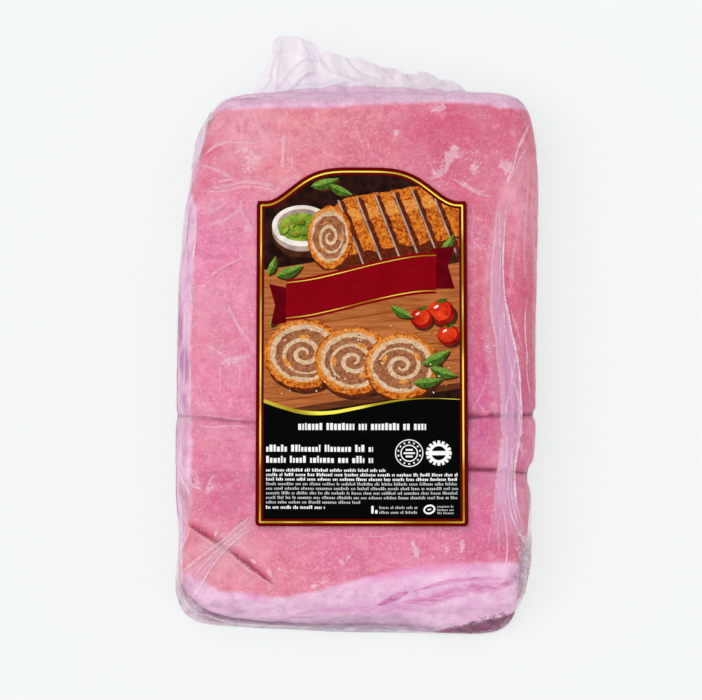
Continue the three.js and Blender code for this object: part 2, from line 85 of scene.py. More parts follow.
CREASE_TURN = (-20, 40)  # from the left value to the right one between these X
CORNER_CREASE = ((-81.5, -84.7), (-38.6, -115.3))
CORNER_CREASE_BOW, CORNER_CREASE_DEPTH, CORNER_CREASE_WIDTHS, CORNER_CREASE_FADE = 2, 2, (1.2, 4), 0.15
# Shares of the creases' depth that the cut has, and the slopes beside it.
MEAT_CREASES, FILM_CREASES = (0.62, 0.42), (0.35, 0.42)
# The pleat's middle line, as (y, x).
PLEAT_LINE = [(-114, 82), (-75, 69.5), (-30, 67.5), (8, 61), (53, 64.5), (96, 79)]
PLEAT_ROUNDING, PLEAT_HALF_WIDTH, PLEAT_HEIGHT = 14, 4.2, 0.9
PLEAT_FLAT = 0.6  # share of its width that is flat
PLEAT_NEAR_END, PLEAT_FAR_END = (-124, -108), (88, 104)
RIDGE_START, RIDGE_ENDS = (-46, -84), ((-86, -104), (-85, -113), (-80, -123))
RIDGE_HALF_WIDTH, RIDGE_HEIGHT, RIDGE_RISE = 2.2, 1.1, (0.05, 0.4)
# The gathered end's outer edge, as (x, distance beyond the slab).
TAIL_EDGE = [
    (-50.5, 1), (-46, 8), (-42.5, 15.5), (-40.8, 19), (-40, 26), (-38.4, 29), (-34.5, 31), (-27, 28), (-20, 26.3),
    (-16, 21.8), (-8, 20.2), (-4, 18.6), (0, 19.2), (7, 16.2), (11, 14.6), (15, 14), (22, 10.8), (30, 12),
    (34, 9.8), (45, 7.6), (50, 3.5), (53, 1),
]
LABEL_WIDTH, LABEL_CENTRE_X, LABEL_NEAR_Y, LABEL_SHOULDER_Y, LABEL_ARCH_Y = 98.4, 2.2, -87.2, 69.6, 86.2
LABEL_STEP, LABEL_ARCH_POWER, LABEL_CORNER, LABEL_LIFT = 4, 1.9, 2, 0.32

# ---- The view, and how the picture's pixels fall on the object ------------------------------------

ELEVATION = math.radians(75)
PIXEL_MM = 0.47  # size of a picture's pixel where the camera aims
DISTANCE = 2600.0
TARGET_PIXEL = (357.0, 357.04)
IMAGE_SIZE = (702, 700)
SENSOR_MM = 36.0
SKIN_LEVEL, FACE_LEVEL = 45.0, 18.0  # heights at which pixels are placed on the top and on the near face
RIGHT = np.array((1.0, 0.0, 0.0))
UP = np.array((0.0, math.sin(ELEVATION), math.cos(ELEVATION)))
FORWARD = np.array((0.0, math.cos(ELEVATION), -math.sin(ELEVATION)))
AIM = (np.array((0.0, 0.0, SLAB_HEIGHT / 2))
       - RIGHT * (TARGET_PIXEL[0] - IMAGE_SIZE[0] / 2) * PIXEL_MM
       + UP * (TARGET_PIXEL[1] - IMAGE_SIZE[1] / 2) * PIXEL_MM)
EYE = AIM - FORWARD * DISTANCE

camera_data = bpy.data.cameras.new("camera")
camera_data.sensor_width = SENSOR_MM
camera_data.lens = SENSOR_MM * DISTANCE / (IMAGE_SIZE[0] * PIXEL_MM)
camera_data.clip_start, camera_data.clip_end = 0.05, 20
camera = bpy.data.objects.new("camera", camera_data)
camera.location = Vector(EYE) * MM
camera.rotation_mode = "QUATERNION"
camera.rotation_quaternion = Vector(FORWARD).to_track_quat("-Z", "Y")
bpy.context.scene.collection.objects.link(camera)
bpy.context.scene.camera = camera
bpy.context.scene.view_settings.view_transform = "Standard"


def pixel_ray(px, py):
    """Direction, in the row frame, in which the picture shows this pixel."""
    ray = (FORWARD * DISTANCE + RIGHT * (px - IMAGE_SIZE[0] / 2) * PIXEL_MM
           - UP * (py - IMAGE_SIZE[1] / 2) * PIXEL_MM)
    return ray / np.linalg.norm(ray)


def on_plane(pixels, height):
    """Where pixels fall on a level plane, as (x, y) in mm."""
    spots = []
    for px, py in pixels:
        ray = pixel_ray(px, py)
        spot = EYE + ray * (height - EYE[2]) / ray[2]
        spots.append((spot[0], spot[1]))
    return np.array(spots)


def as_seen(y, z):
    """Y at the skin's level of the place that the picture shows where it shows (y, z)."""
    return y + (z - SKIN_LEVEL) * UP[2] / UP[1]


def on_face(pixels):
    """Where pixels fall on the near face, as (x, v): v is Y and Z together, seen from ELEVATION."""
    x, y = on_plane(pixels, FACE_LEVEL).T
    return np.stack([x, y * UP[1] + FACE_LEVEL * UP[2]], 1)


# ---- Small tools ----------------------------------------------------------------------------------


def along(pairs, t):
    """Value at t of a line through (place, value) pairs."""
    places, values = zip(*pairs)
    return np.interp(t, places, values)


def rounded(pairs, t, reach):
    """The same with the line's corners rounded off over a reach."""
    return sum(along(pairs, t + share * reach) for share in (-1, -0.5, 0, 0.5, 1)) / 5


def smoothstep(t, low, high):
    t = np.clip((t - low) / (high - low), 0, 1)
    return t * t * (3 - 2 * t)


def bell(distance, half_width):
    return np.exp(-((distance / half_width) ** 2))


def lerp(a, b, share):
    return a + (b - a) * share


def within(place, margin):
    """1 along a line, falling to 0 over a margin at its two ends; places on it go from 0 to 1."""
    return smoothstep(place, 0, margin) * smoothstep(1 - place, 0, margin)


def lumps(points, size, seed):
    """Smooth noise of about -1 to 1 at an (n, 3) array of points, with lumps of the given size."""
    rng = np.random.default_rng(seed)
    order = rng.permutation(256)
    slopes = rng.normal(size=(256, 3))
    slopes /= np.linalg.norm(slopes, axis=1)[:, None]
    spots = np.asarray(points, float) / size
    cell = np.floor(spots).astype(int)
    part = spots - cell
    ease = part ** 3 * (part * (part * 6 - 15) + 10)
    total = np.zeros(len(spots))
    for dx in (0, 1):
        for dy in (0, 1):
            for dz in (0, 1):
                x, y, z = cell[:, 0] + dx, cell[:, 1] + dy, cell[:, 2] + dz
                pick = order[(order[(order[x & 255] + y) & 255] + z) & 255]
                away = part - np.array((dx, dy, dz))
                weight = (np.where(dx, ease[:, 0], 1 - ease[:, 0])
                          * np.where(dy, ease[:, 1], 1 - ease[:, 1])
                          * np.where(dz, ease[:, 2], 1 - ease[:, 2]))
                total += weight * (slopes[pick] * away).sum(1)
    return total * 1.7


def lumpy(points, *layers):
    """Sum of smooth noises, each given by its height, size and seed."""
    return sum(height * lumps(points, size, seed) for height, size, seed in layers)


def level(x, y):
    return np.stack([x, y, 0 * x], 1)


def segment_distance(x, y, a, b):
    """Share along a segment of the point nearest (x, y), and the distance to it."""
    dx, dy = b[0] - a[0], b[1] - a[1]
    share = np.clip(((x - a[0]) * dx + (y - a[1]) * dy) / (dx * dx + dy * dy), 0, 1)
    return share, np.hypot(x - a[0] - share * dx, y - a[1] - share * dy)


def line_field(x, y, line):
    """Signed distance from a line of points, positive on its left, and how far along it, from 0 to 1."""
    best = np.full(np.shape(x), 1e9)
    signed = np.zeros(np.shape(x))
    place = np.zeros(np.shape(x))
    lengths = np.hypot(*np.diff(line, axis=0).T)
    starts = np.concatenate([[0], np.cumsum(lengths)])
    for k, (a, b) in enumerate(zip(line[:-1], line[1:])):
        share, distance = segment_distance(x, y, a, b)
        side = np.sign((b[0] - a[0]) * (y - a[1]) - (b[1] - a[1]) * (x - a[0]))
        nearer = distance < best
        best = np.where(nearer, distance, best)
        signed = np.where(nearer, distance * side, signed)
        place = np.where(nearer, (starts[k] + share * lengths[k]) / starts[-1], place)
    return signed, place


def region_field(x, y, corners):
    """Distance into a closed region from its edge, negative outside it."""
    best = np.full(np.shape(x), 1e9)
    inside = np.zeros(np.shape(x), bool)
    for a, b in zip(corners, np.roll(corners, -1, axis=0)):
        _, distance = segment_distance(x, y, a, b)
        best = np.minimum(best, distance)
        crosses = (a[1] > y) != (b[1] > y)
        run = np.where(crosses, (b[0] - a[0]) * (y - a[1]) / np.where(b[1] == a[1], 1, b[1] - a[1]) + a[0], 0)
        inside ^= crosses & (x < run)
    return np.where(inside, best, -best)


def resampled(curve, places, wanted):
    """A curve's points at the wanted places, where its own points lie at the given ones."""
    return np.stack([np.interp(wanted, places, column) for column in curve.T], 1)


def spread(points, step):
    """Points at even steps along a smooth curve through the given ones."""
    points = np.asarray(points, float)
    padded = np.vstack([2 * points[0] - points[1], points, 2 * points[-1] - points[-2]])
    curve = []
    for k in range(1, len(padded) - 2):
        p0, p1, p2, p3 = padded[k - 1:k + 3]
        for t in np.linspace(0, 1, 12, endpoint=False):
            curve.append(0.5 * (2 * p1 + (p2 - p0) * t + (2 * p0 - 5 * p1 + 4 * p2 - p3) * t ** 2
                                + (3 * p1 - p0 - 3 * p2 + p3) * t ** 3))
    curve = np.array(curve + [points[-1]])
    lengths = np.concatenate([[0], np.cumsum(np.linalg.norm(np.diff(curve, axis=0), axis=1))])
    count = max(3, int(round(lengths[-1] / step)) + 1)
    return resampled(curve, lengths, np.linspace(0, lengths[-1], count))


def srgb(r, g, b):
    """Linear colour of an 8-bit screen colour."""
    def linear(value):
        value /= 255
        return value / 12.92 if value <= 0.04045 else ((value + 0.055) / 1.055) ** 2.4
    return (linear(r), linear(g), linear(b), 1.0)


# ---- Node materials -------------------------------------------------------------------------------


class Value:
    """A node's output, which adds, subtracts and multiplies like a number."""

    def __init__(self, tree, socket):
        self.tree, self.socket = tree, socket

    def math(self, operation, *operands):
        node = self.tree.nodes.new("ShaderNodeMath")
        node.operation = operation
        for k in range(3):
            feed(node.inputs[k], operands[k] if k < len(operands) else 0.0)
        return Value(self.tree, node.outputs[0])

    def __add__(self, other):
        return self.math("ADD", self, other)

    def __sub__(self, other):
        return self.math("SUBTRACT", self, other)

    def __mul__(self, other):
        return self.math("MULTIPLY", self, other)

    def __abs__(self):
        return self.math("ABSOLUTE", self)

    def clamped(self):
        """The same value, held between 0 and 1 by the node that it comes from."""
        self.socket.node.use_clamp = True
        return self


def feed(socket, value):
    if isinstance(value, Value):
        value.tree.links.new(value.socket, socket)
    else:
        socket.default_value = value


class Nodes:
    """One material's node tree, with a short way to add each kind of node."""

    def __init__(self, name):
        self.material = bpy.data.materials.new(name)
        self.material.use_nodes = True
        self.tree = self.material.node_tree
        self.tree.nodes.clear()
        self.place = None

    def add(self, kind, output, settings=None, **inputs):
        """Adds a node and returns one of its outputs. An input is given by its name, or as _ and its number."""
        node = self.tree.nodes.new(kind)
        for name, value in (settings or {}).items():
            setattr(node, name, value)
        for name, value in inputs.items():
            feed(node.inputs[int(name[1:]) if name[1:].isdigit() else name.replace("_", " ")], value)
        return Value(self.tree, node.outputs[output])

    def mm(self):
        """The place on the object, in mm."""
        if self.place is None:
            self.place = self.add("ShaderNodeVectorMath", 0, {"operation": "SCALE"}, Scale=1000.0,
                                  _0=self.add("ShaderNodeTexCoord", "Object"))
        return self.place

    def stretched(self, x, y, z):
        return self.add("ShaderNodeVectorMath", 0, {"operation": "MULTIPLY"}, _0=self.mm(), _1=(x, y, z))

    def attribute(self, name):
        return self.add("ShaderNodeAttribute", "Fac", {"attribute_name": name})

    def noise(self, size, detail=2.0, roughness=0.5, distortion=0.0, vector=None):
        """Noise of about 0 to 1 with lumps of the given size in mm."""
        return self.add("ShaderNodeTexNoise", "Fac", Vector=vector or self.mm(), Scale=1.0 / size,
                        Detail=detail, Roughness=roughness, Distortion=distortion)

    def uneven(self, height, *noise):
        """Noise about 0, of the given height."""
        return (self.noise(*noise) - 0.5) * height

    def cells(self, size):
        return self.add("ShaderNodeTexVoronoi", "Distance", Vector=self.mm(), Scale=1.0 / size)

    def step(self, value, low, high, start=0.0, end=1.0):
        """Smooth step of a value from start at low to end at high."""
        if low > high:
            low, high, start, end = high, low, end, start
        return self.add("ShaderNodeMapRange", "Result", {"interpolation_type": "SMOOTHSTEP"}, Value=value,
                        From_Min=low, From_Max=high, To_Min=start, To_Max=end)

    def mix(self, share, a, b):
        """Mix of two colours, each a node's output or an 8-bit screen colour."""
        a, b = (srgb(*colour) if isinstance(colour, tuple) else colour for colour in (a, b))
        return self.add("ShaderNodeMix", 2, {"data_type": "RGBA"}, Factor=share, _6=a, _7=b)

    def two_tone(self, pattern, low, high, first, second):
        """One colour where a pattern is low, and another where it is high."""
        return self.mix(self.step(pattern, low, high), first, second)

    def layered(self, colour, *layers):
        """A colour with others laid over it in turn, each given as (share, colour)."""
        for share, layer in layers:
            colour = self.mix(share, colour, layer)
        return colour

    def bump(self, height, distance_mm, strength=1.0):
        return self.add("ShaderNodeBump", "Normal", Height=height, Strength=strength, Distance=distance_mm * MM)

    def surface(self, **inputs):
        """Ends the tree with a Principled shader and returns the material."""
        shader = self.add("ShaderNodeBsdfPrincipled", 0, **inputs)
        feed(self.tree.nodes.new("ShaderNodeOutputMaterial").inputs[0], shader)
        return self.material


# ---- Meshes ---------------------------------------------------------------------------------------


def make_piece(name, points, faces, materials, values=None, indices=None, smooth=True):
    """An object at the origin from points in mm, with float attributes for its material."""
    mesh = bpy.data.meshes.new(name)
    mesh.from_pydata((np.asarray(points, float) * MM).tolist(), [], [list(map(int, face)) for face in faces])
    for material in materials:
        mesh.materials.append(material)
    if indices is not None:
        mesh.polygons.foreach_set("material_index", np.asarray(indices, np.int32))
    if smooth:
        mesh.polygons.foreach_set("use_smooth", np.ones(len(mesh.polygons), bool))
    for key, numbers in (values or {}).items():
        attribute = mesh.attributes.new(key, "FLOAT", "POINT")
        attribute.data.foreach_set("value", np.ascontiguousarray(numbers, np.float32))
    mesh.update()
    piece = bpy.data.objects.new(name, mesh)
    bpy.context.scene.collection.objects.link(piece)
    return piece


def point_normals(points, quads):
    """Unit normals of the points of a mesh of quads."""
    a, b, c, d = (points[quads[:, k]] for k in range(4))
    across = np.cross(c - a, d - b)
    normals = np.zeros_like(points)
    for k in range(4):
        np.add.at(normals, quads[:, k], across)
    return normals / np.maximum(np.linalg.norm(normals, axis=1), 1e-9)[:, None]


# ---- Shape of the slab ----------------------------------------------------------------------------


def smooth_top(x, y):
    """Height of the top, without creases and folds."""
    crown = CROWN_ACROSS * (x / HALF_WIDTH) ** 4 + CROWN_ALONG * (y / HALF_LENGTH) ** 4
    waves = np.sin(x / WAVE_ACROSS[0] + WAVE_ACROSS[1]) * np.cos(y / WAVE_ALONG[0] + WAVE_ALONG[1]) - 1
    return SLAB_HEIGHT - CROWN_DROP * crown + TOP_WAVE * waves


def crease_offset(k, x):
    return rounded(CREASE_LINES[k], x, CREASE_ROUNDING) - CREASE_Y[k]


def crease_distance(k, x, y):
    return y - CREASE_Y[k] - crease_offset(k, x)


def end_skew(x, y):
    return NEAR_END_SKEW * (x / HALF_WIDTH) * smoothstep(-y, SKEW_START, HALF_LENGTH)


def without_skew(x, y):
    """Y with the near end's skew taken back."""
    return y + end_skew(x, y)


def without_lean(x, y, z):
    """Y with the near end's skew and the creases' lean down the sides taken back."""
    straight = without_skew(x, y)
    upright = straight
    for _ in range(3):
        upright = straight - crease_lean(x, upright) * np.maximum(RIM_LEVEL - z, 0)
    return upright


def corner_crease(x, y):
    """How far along the diagonal crease, from 0 to 1, and the distance from it."""
    (x0, _), (x1, _) = CORNER_CREASE
    bowed = y - CORNER_CREASE_BOW * np.sin(np.pi * np.clip((x - x0) / (x1 - x0), 0, 1))
    return segment_distance(x, bowed, *CORNER_CREASE)


def turned(left, x):
    """A value that is the given one at the left part of a crease and 1 at its right part."""
    return lerp(left, 1, smoothstep(x, *CREASE_TURN))


def crease_dip(x, y, sharp, broad):
    """How far the skin sinks at the creases: sharp is the cut itself, broad the slopes beside it."""
    dip = np.zeros(np.shape(x))
    for k in range(len(CREASE_Y)):
        distance = crease_distance(k, x, y)
        cut = sharp * turned(CREASE_LEFT_CUT[k], x)
        dip += CREASE_DEPTH * (cut * bell(distance, CREASE_CUT_WIDTH) + broad * bell(distance, CREASE_SHOULDER))
    share, distance = corner_crease(x, y)
    fade = smoothstep(1 - share, 0, CORNER_CREASE_FADE)
    narrow, wide = (bell(distance, width) for width in CORNER_CREASE_WIDTHS)
    return dip + CORNER_CREASE_DEPTH * fade * (sharp * narrow + broad * wide)


def fold_rise(x, y):
    """How far the film stands up at the pleat and at the taut ridges."""
    from_pleat = np.abs(x - rounded(PLEAT_LINE, y, PLEAT_ROUNDING))
    ends = smoothstep(y, *PLEAT_NEAR_END) * (1 - smoothstep(y, *PLEAT_FAR_END))
    rise = PLEAT_HEIGHT * ends * (1 - smoothstep(from_pleat, PLEAT_FLAT * PLEAT_HALF_WIDTH, PLEAT_HALF_WIDTH))
    for end in RIDGE_ENDS:
        share, distance = segment_distance(x, y, RIDGE_START, end)
        rise += RIDGE_HEIGHT * smoothstep(share, *RIDGE_RISE) * bell(distance, RIDGE_HALF_WIDTH)
    return rise


def meat_top(x, y):
    return smooth_top(x, y) - crease_dip(x, y, *MEAT_CREASES)


def film_top(x, y):
    return smooth_top(x, y) - crease_dip(x, y, *FILM_CREASES) + fold_rise(x, y)


def superellipse(share, exponent):
    return np.maximum(1 - np.abs(share) ** exponent, 0) ** (1 / exponent)


def exponent_at(x, y):
    near = np.where(np.asarray(x) < 0, CORNER_EXPONENTS[-1, -1], CORNER_EXPONENTS[1, -1])
    far = np.where(np.asarray(x) < 0, CORNER_EXPONENTS[-1, 1], CORNER_EXPONENTS[1, 1])
    return np.where(np.asarray(y) < 0, near, far)


def outline_x(side, y):
    half = np.where(np.asarray(side) < 0, rounded(LEFT_WIDTHS, y, WIDTH_ROUNDING),
                    rounded(RIGHT_WIDTHS, y, WIDTH_ROUNDING))
    return side * half * superellipse(y / HALF_LENGTH, exponent_at(side, y))


def corner_x(side, end):
    return outline_x(side, end * CORNER_SHARE * HALF_LENGTH)


def outline_y(end, x):
    side = np.where(x < 0, -1, 1)
    exponent = exponent_at(side, np.full(np.shape(x), end))
    half = np.abs(corner_x(side, end)) / superellipse(CORNER_SHARE, exponent)
    return end * HALF_LENGTH * superellipse(x / half, exponent)


def section_at(x, y):
    """Which way the outline faces at (x, y), and its section there."""
    out = np.stack([x - np.clip(x, CORNER_CORE - HALF_WIDTH, HALF_WIDTH - CORNER_CORE),
                    y - np.clip(y, CORNER_CORE - HALF_LENGTH, HALF_LENGTH - CORNER_CORE)], 1)
    reach = np.linalg.norm(out, axis=1)
    out /= reach[:, None]
    side = np.where((out[:, 0] < 0)[:, None], np.array(LEFT_SIDE), np.array(RIGHT_SIDE))
    across = np.clip((x + HALF_WIDTH) / SLAB_WIDTH, 0, 1)
    near_rim = lerp(NEAR_RIM[0], NEAR_RIM[1], smoothstep(x, *NEAR_RIM_TURN))
    is_near = out[:, 1] < 0
    end_rim = np.where(is_near, near_rim, lerp(FAR_RIM[0], FAR_RIM[1], across))
    belt = np.where(is_near, lerp(NEAR_BELT[0], NEAR_BELT[1], across), FAR_BELT)
    end_share = out[:, 1] ** 2
    rim = lerp(side[:, 0], end_rim, end_share) + CORNER_EASING * np.maximum(0, reach - CORNER_CORE)
    notch = sum(depth * np.where(x < 0, left_share, 1) * bell(crease_distance(k, x, y), half_width)
                for k, (depth, half_width, left_share) in enumerate(CREASE_NOTCH))
    return {
        "out": out,
        "rim": np.where(is_near, rim, np.minimum(rim, RIM_REACH * reach)),
        "belt": lerp(side[:, 1], belt, end_share),
        "roundness": lerp(side[:, 2], END_ROUNDNESS, end_share),
        "notch": notch * (1 - end_share),
        "end_share": end_share,
    }


def crease_lean(x, y):
    lean = sum(CREASE_LEAN * bell(crease_distance(k, x, y), CREASE_LEAN_REACH) for k in range(len(CREASE_Y)))
    return np.where(np.abs(x) < HALF_WIDTH - CORNER_CORE, 0, lean)


GRID_STEP = 1.1
SHOULDER_RINGS, FOOT_RINGS = 30, 18
RING_SPACING = 0.75  # under 1, the rings lie further apart near the rim
BASE_SHARES = (0.985, 0.955, 0.9, 0.8, 0.66, 0.5, 0.32, 0.14)
ACROSS_BLEND, ALONG_BLEND = 25, 70  # the grid's rows change to match the ends over these lengths
EVENED_REACH, EVENING_PASSES = 20, 260
CREASE_CLEARANCE = 8.6  # even rows keep this far from a crease, where rows of its own lie closer
CREASE_ROWS = np.concatenate([np.arange(0, 3, 0.4), np.arange(3, 8.2, 0.75)])
NOTCH_FADE = 0.25  # the creases' nicks fade out down to this share of the belt's height


def row_shift(x, row):
    """How far a row of the grid shifts at x, so that the rows beside a crease follow it."""
    return sum(crease_offset(k, x) * bell(row - CREASE_Y[k], CREASE_SHOULDER) for k in range(len(CREASE_Y)))


def grid_lines():
    columns = np.linspace(-HALF_WIDTH, HALF_WIDTH, int(SLAB_WIDTH / GRID_STEP) + 1)
    end = CORNER_SHARE * HALF_LENGTH
    rows = np.linspace(-end, end, int(2 * end / GRID_STEP) + 1)
    rows = rows[[all(abs(y - crease) > CREASE_CLEARANCE for crease in CREASE_Y) for y in rows]]
    close = np.concatenate([-CREASE_ROWS[:0:-1], CREASE_ROWS])
    rows = np.sort(np.concatenate([rows] + [crease + close for crease in CREASE_Y]))
    return columns, rows


def grid_quads(wide, tall):
    """The points' numbers in a grid of that many by that many points, and its quads."""
    index = np.arange(wide * tall).reshape(tall, wide)
    return index, np.stack([index[:-1, :-1], index[:-1, 1:], index[1:, 1:], index[1:, :-1]], -1).reshape(-1, 4)


def slab_mesh(height):
    """The slab's closed surface with the given top: points, quads, and where each point belongs."""
    columns, rows = grid_lines()
    end_share = np.abs(columns / HALF_WIDTH)
    side_of = np.where(columns < 0, -1, 1)
    near_x = end_share * corner_x(side_of, -1)
    far_x = end_share * corner_x(side_of, 1)
    near = np.stack([near_x, outline_y(-1, near_x)], 1)
    far = np.stack([far_x, outline_y(1, far_x)], 1)
    left_y, right_y = rows + row_shift(-HALF_WIDTH, rows), rows + row_shift(HALF_WIDTH, rows)
    left = np.stack([outline_x(-1, left_y), left_y], 1)
    right = np.stack([outline_x(1, right_y), right_y], 1)

    def rim(outline):
        section = section_at(outline[:, 0], outline[:, 1])
        return outline - section["out"] * (section["rim"] + section["notch"])[:, None]

    near_rim, far_rim, left_rim, right_rim = rim(near), rim(far), rim(left), rim(right)
    # Rows run straight between the two side rims, and bend towards the ends to meet their rims.
    across = ((columns + HALF_WIDTH) / SLAB_WIDTH)[None, :]
    row = rows[:, None]
    plan = lerp(left_rim[:, None], right_rim[:, None], across[..., None])
    near_gap, far_gap = near_rim - plan[0], far_rim - plan[-1]
    for axis, blend in enumerate((ACROSS_BLEND, ALONG_BLEND)):
        plan[..., axis] += (near_gap[:, axis] * (1 - smoothstep(row - rows[0], 0, blend))
                            + far_gap[:, axis] * (1 - smoothstep(rows[-1] - row, 0, blend)))
    plan[1:-1, 1:-1, 1] += (row_shift(plan[..., 0], row)
                            - lerp(row_shift(-HALF_WIDTH, row), row_shift(HALF_WIDTH, row), across))[1:-1, 1:-1]
    # The cells in the corners are evened out.
    evened = sum(bell(np.hypot(*(plan - plan[j, i]).transpose(2, 0, 1)), EVENED_REACH)
                 for j in (0, -1) for i in (0, -1))[1:-1, 1:-1, None]
    for _ in range(EVENING_PASSES):
        mean = (plan[:-2, 1:-1] + plan[2:, 1:-1] + plan[1:-1, :-2] + plan[1:-1, 2:]) / 4
        plan[1:-1, 1:-1] = lerp(plan[1:-1, 1:-1], mean, np.minimum(evened, 1))
    plan = plan.reshape(-1, 2)
    top = np.column_stack([plan, height(plan[:, 0], plan[:, 1])])

    index, top_quads = grid_quads(len(columns), len(rows))
    upper = np.concatenate([index[0, :-1], index[:-1, -1], index[-1, :0:-1], index[:0:-1, 0]])
    outline = np.concatenate([near[:-1], right[:-1], far[:0:-1], left[:0:-1]])
    section = section_at(outline[:, 0], outline[:, 1])
    rim_z = top[upper, 2]
    lean = crease_lean(outline[:, 0], outline[:, 1])
    rings = []
    for ring in range(1, SHOULDER_RINGS + FOOT_RINGS + 1):
        if ring <= SHOULDER_RINGS:
            angle = np.pi / 2 * (ring / SHOULDER_RINGS) ** RING_SPACING
            power = 2 / section["roundness"]
            inset = section["rim"] * (1 - np.sin(angle) ** power)
            z = lerp(section["belt"], rim_z, max(0, np.cos(angle)) ** power)
        else:
            angle = np.pi / 2 * (ring - SHOULDER_RINGS) / FOOT_RINGS
            power = 2 / UNDER_ROUNDNESS
            inset = np.full(len(outline), UNDER_INSET * (1 - max(0, np.cos(angle)) ** power))
            z = section["belt"] * (1 - np.sin(angle) ** power)
        notch = section["notch"] * smoothstep(z / section["belt"], NOTCH_FADE, 1)
        place = outline - section["out"] * (inset + notch)[:, None]
        place[:, 1] += lean * (rim_z - z)
        rings.append(np.column_stack([place, z]))
    foot = rings[-1]
    foot[:, 2] = 0
    rings += [foot * share for share in BASE_SHARES]
    quads = [top_quads]
    for k in range(len(rings)):
        lower = len(top) + k * len(outline) + np.arange(len(outline))
        quads.append(np.stack([lower, np.roll(lower, -1), np.roll(upper, -1), upper], 1))
        upper = lower
    points = np.vstack([top, *rings, np.zeros((1, 3))])
    facing = np.vstack([np.zeros((len(top), 2)), *[section["out"]] * len(rings), np.zeros((1, 2))])
    caps = [[a, len(points) - 1, b] for a, b in zip(upper, np.roll(upper, -1))]
    points[:, 1] -= end_skew(points[:, 0], points[:, 1])
    return points, np.vstack(quads), caps, facing


def label_far_edge(from_centre):
    rise, arch = LABEL_ARCH_Y - LABEL_SHOULDER_Y, LABEL_WIDTH / 2 - LABEL_STEP
    share = np.clip(np.abs(from_centre) / arch, 0, 1)
    return LABEL_SHOULDER_Y + rise * (0.5 + 0.5 * np.cos(np.pi * share ** LABEL_ARCH_POWER))


def under_label(x, y, margin):
    """1 under the label, falling to 0 over a margin outside it."""
    from_centre = x - LABEL_CENTRE_X
    side = 1 - smoothstep(np.abs(from_centre), LABEL_WIDTH / 2 - 1, LABEL_WIDTH / 2 + margin)
    near = smoothstep(y, LABEL_NEAR_Y - margin, LABEL_NEAR_Y + 1)
    far = 1 - smoothstep(y - label_far_edge(from_centre), -1, margin)
    return side * near * far


# ---- Measured places on the meat, in the picture's pixels -----------------------------------------

SKIN_OUTLINE = [
    (209, 117), (215, 112), (228, 109), (260, 107), (300, 107), (330, 107), (340, 105.7), (391, 102), (442, 101),
    (480, 103), (506, 107), (526, 108), (600, 110), (600, 566), (521, 564), (495, 562.4), (470, 563), (445, 565),
    (420, 567.5), (400, 570), (367, 578), (340, 585), (305, 594), (290, 596.4), (272, 598.2), (254.3, 594.6),
    (240.9, 592), (225.7, 593.3), (218.6, 591), (207, 584.8), (203.4, 580.4), (191.8, 576.8), (187.3, 573),
    (180, 573), (181, 556), (183, 540), (186, 520), (190, 500), (190, 350), (192, 290), (194, 250), (196, 215),
    (192, 200), (189, 190), (191.5, 182), (195.5, 171), (197.5, 157), (200.7, 138), (204.5, 122.5), (207, 118.5),
]
# Streaks of lean in the near face, and last a line of painted shade along its foot, where the fat meets the pinched
# film: name, middle line, half width in mm at even places along it.
FACE_STREAKS = {
    "lean_main": ([(400, 602), (420, 599), (431.5, 597.2), (443, 595), (454.5, 591), (470, 587),
                   (482.5, 585.6), (495, 584.6), (505, 582), (517, 578.5)],
                  (0.3, 1.2, 1.8, 2.3, 2.6, 2.7, 2.6, 2.5, 1.3, 0.8)),
    "lean_thin": ([(412, 590), (424, 586.5), (431.5, 583.8), (449, 579.4), (466, 577.2), (480, 576.2),
                   (500, 576.8)], (0.3, 0.8, 1.1, 1.1, 0.9, 0.8, 0.4)),
    "lean_patch": ([(378, 604.5), (388, 600), (397, 595), (407, 590.5)], (0.5, 1.5, 1.8, 0.6)),
    "lean_band": ([(296, 613), (313, 610.5), (330, 607.5), (356, 607), (382, 608), (412, 606), (440, 601)],
                  (0.3, 1.4, 2.0, 2.7, 3.0, 2.4, 0.5)),
    "lean_low": ([(434, 635), (452, 632.5), (470, 630), (488, 626.5), (502, 622.5), (511, 618.5), (517, 613)],
                 (0.4, 1.2, 2.3, 3.2, 3.4, 2.8, 0.6)),
    "foot_shade_line": ([(185, 597), (191, 606), (198, 612), (212, 616.8), (232, 621.5), (262, 624.5), (310, 627)],
                  (0.5, 0.9, 0.8, 0.45, 0.2, 0.1, 0.05)),
}

# The straight creases are darkened with painted shade; the film is drawn tight into them by the same shares.
CREASE_LEFT_DARK = (0.55, 0.06)  # how dark the two straight creases are at their left, against 1 at their right

# The diagonal crease: half width in mm, and how strong its painted shade and pale lip are, at places along it.
CREASE_C_PLACES = (0, 0.06, 0.14, 0.3, 0.4, 0.48, 0.56, 0.7, 0.85, 0.95, 1)
CREASE_C_WIDTHS = (0.4, 0.5, 0.8, 1.2, 1.0, 0.5, 1.0, 1.2, 0.8, 0.5, 0.2)
CREASE_C_DARK = (0.2, 0.3, 0.9, 1.0, 0.8, 0.35, 1.0, 0.9, 1.0, 0.8, 0.3)
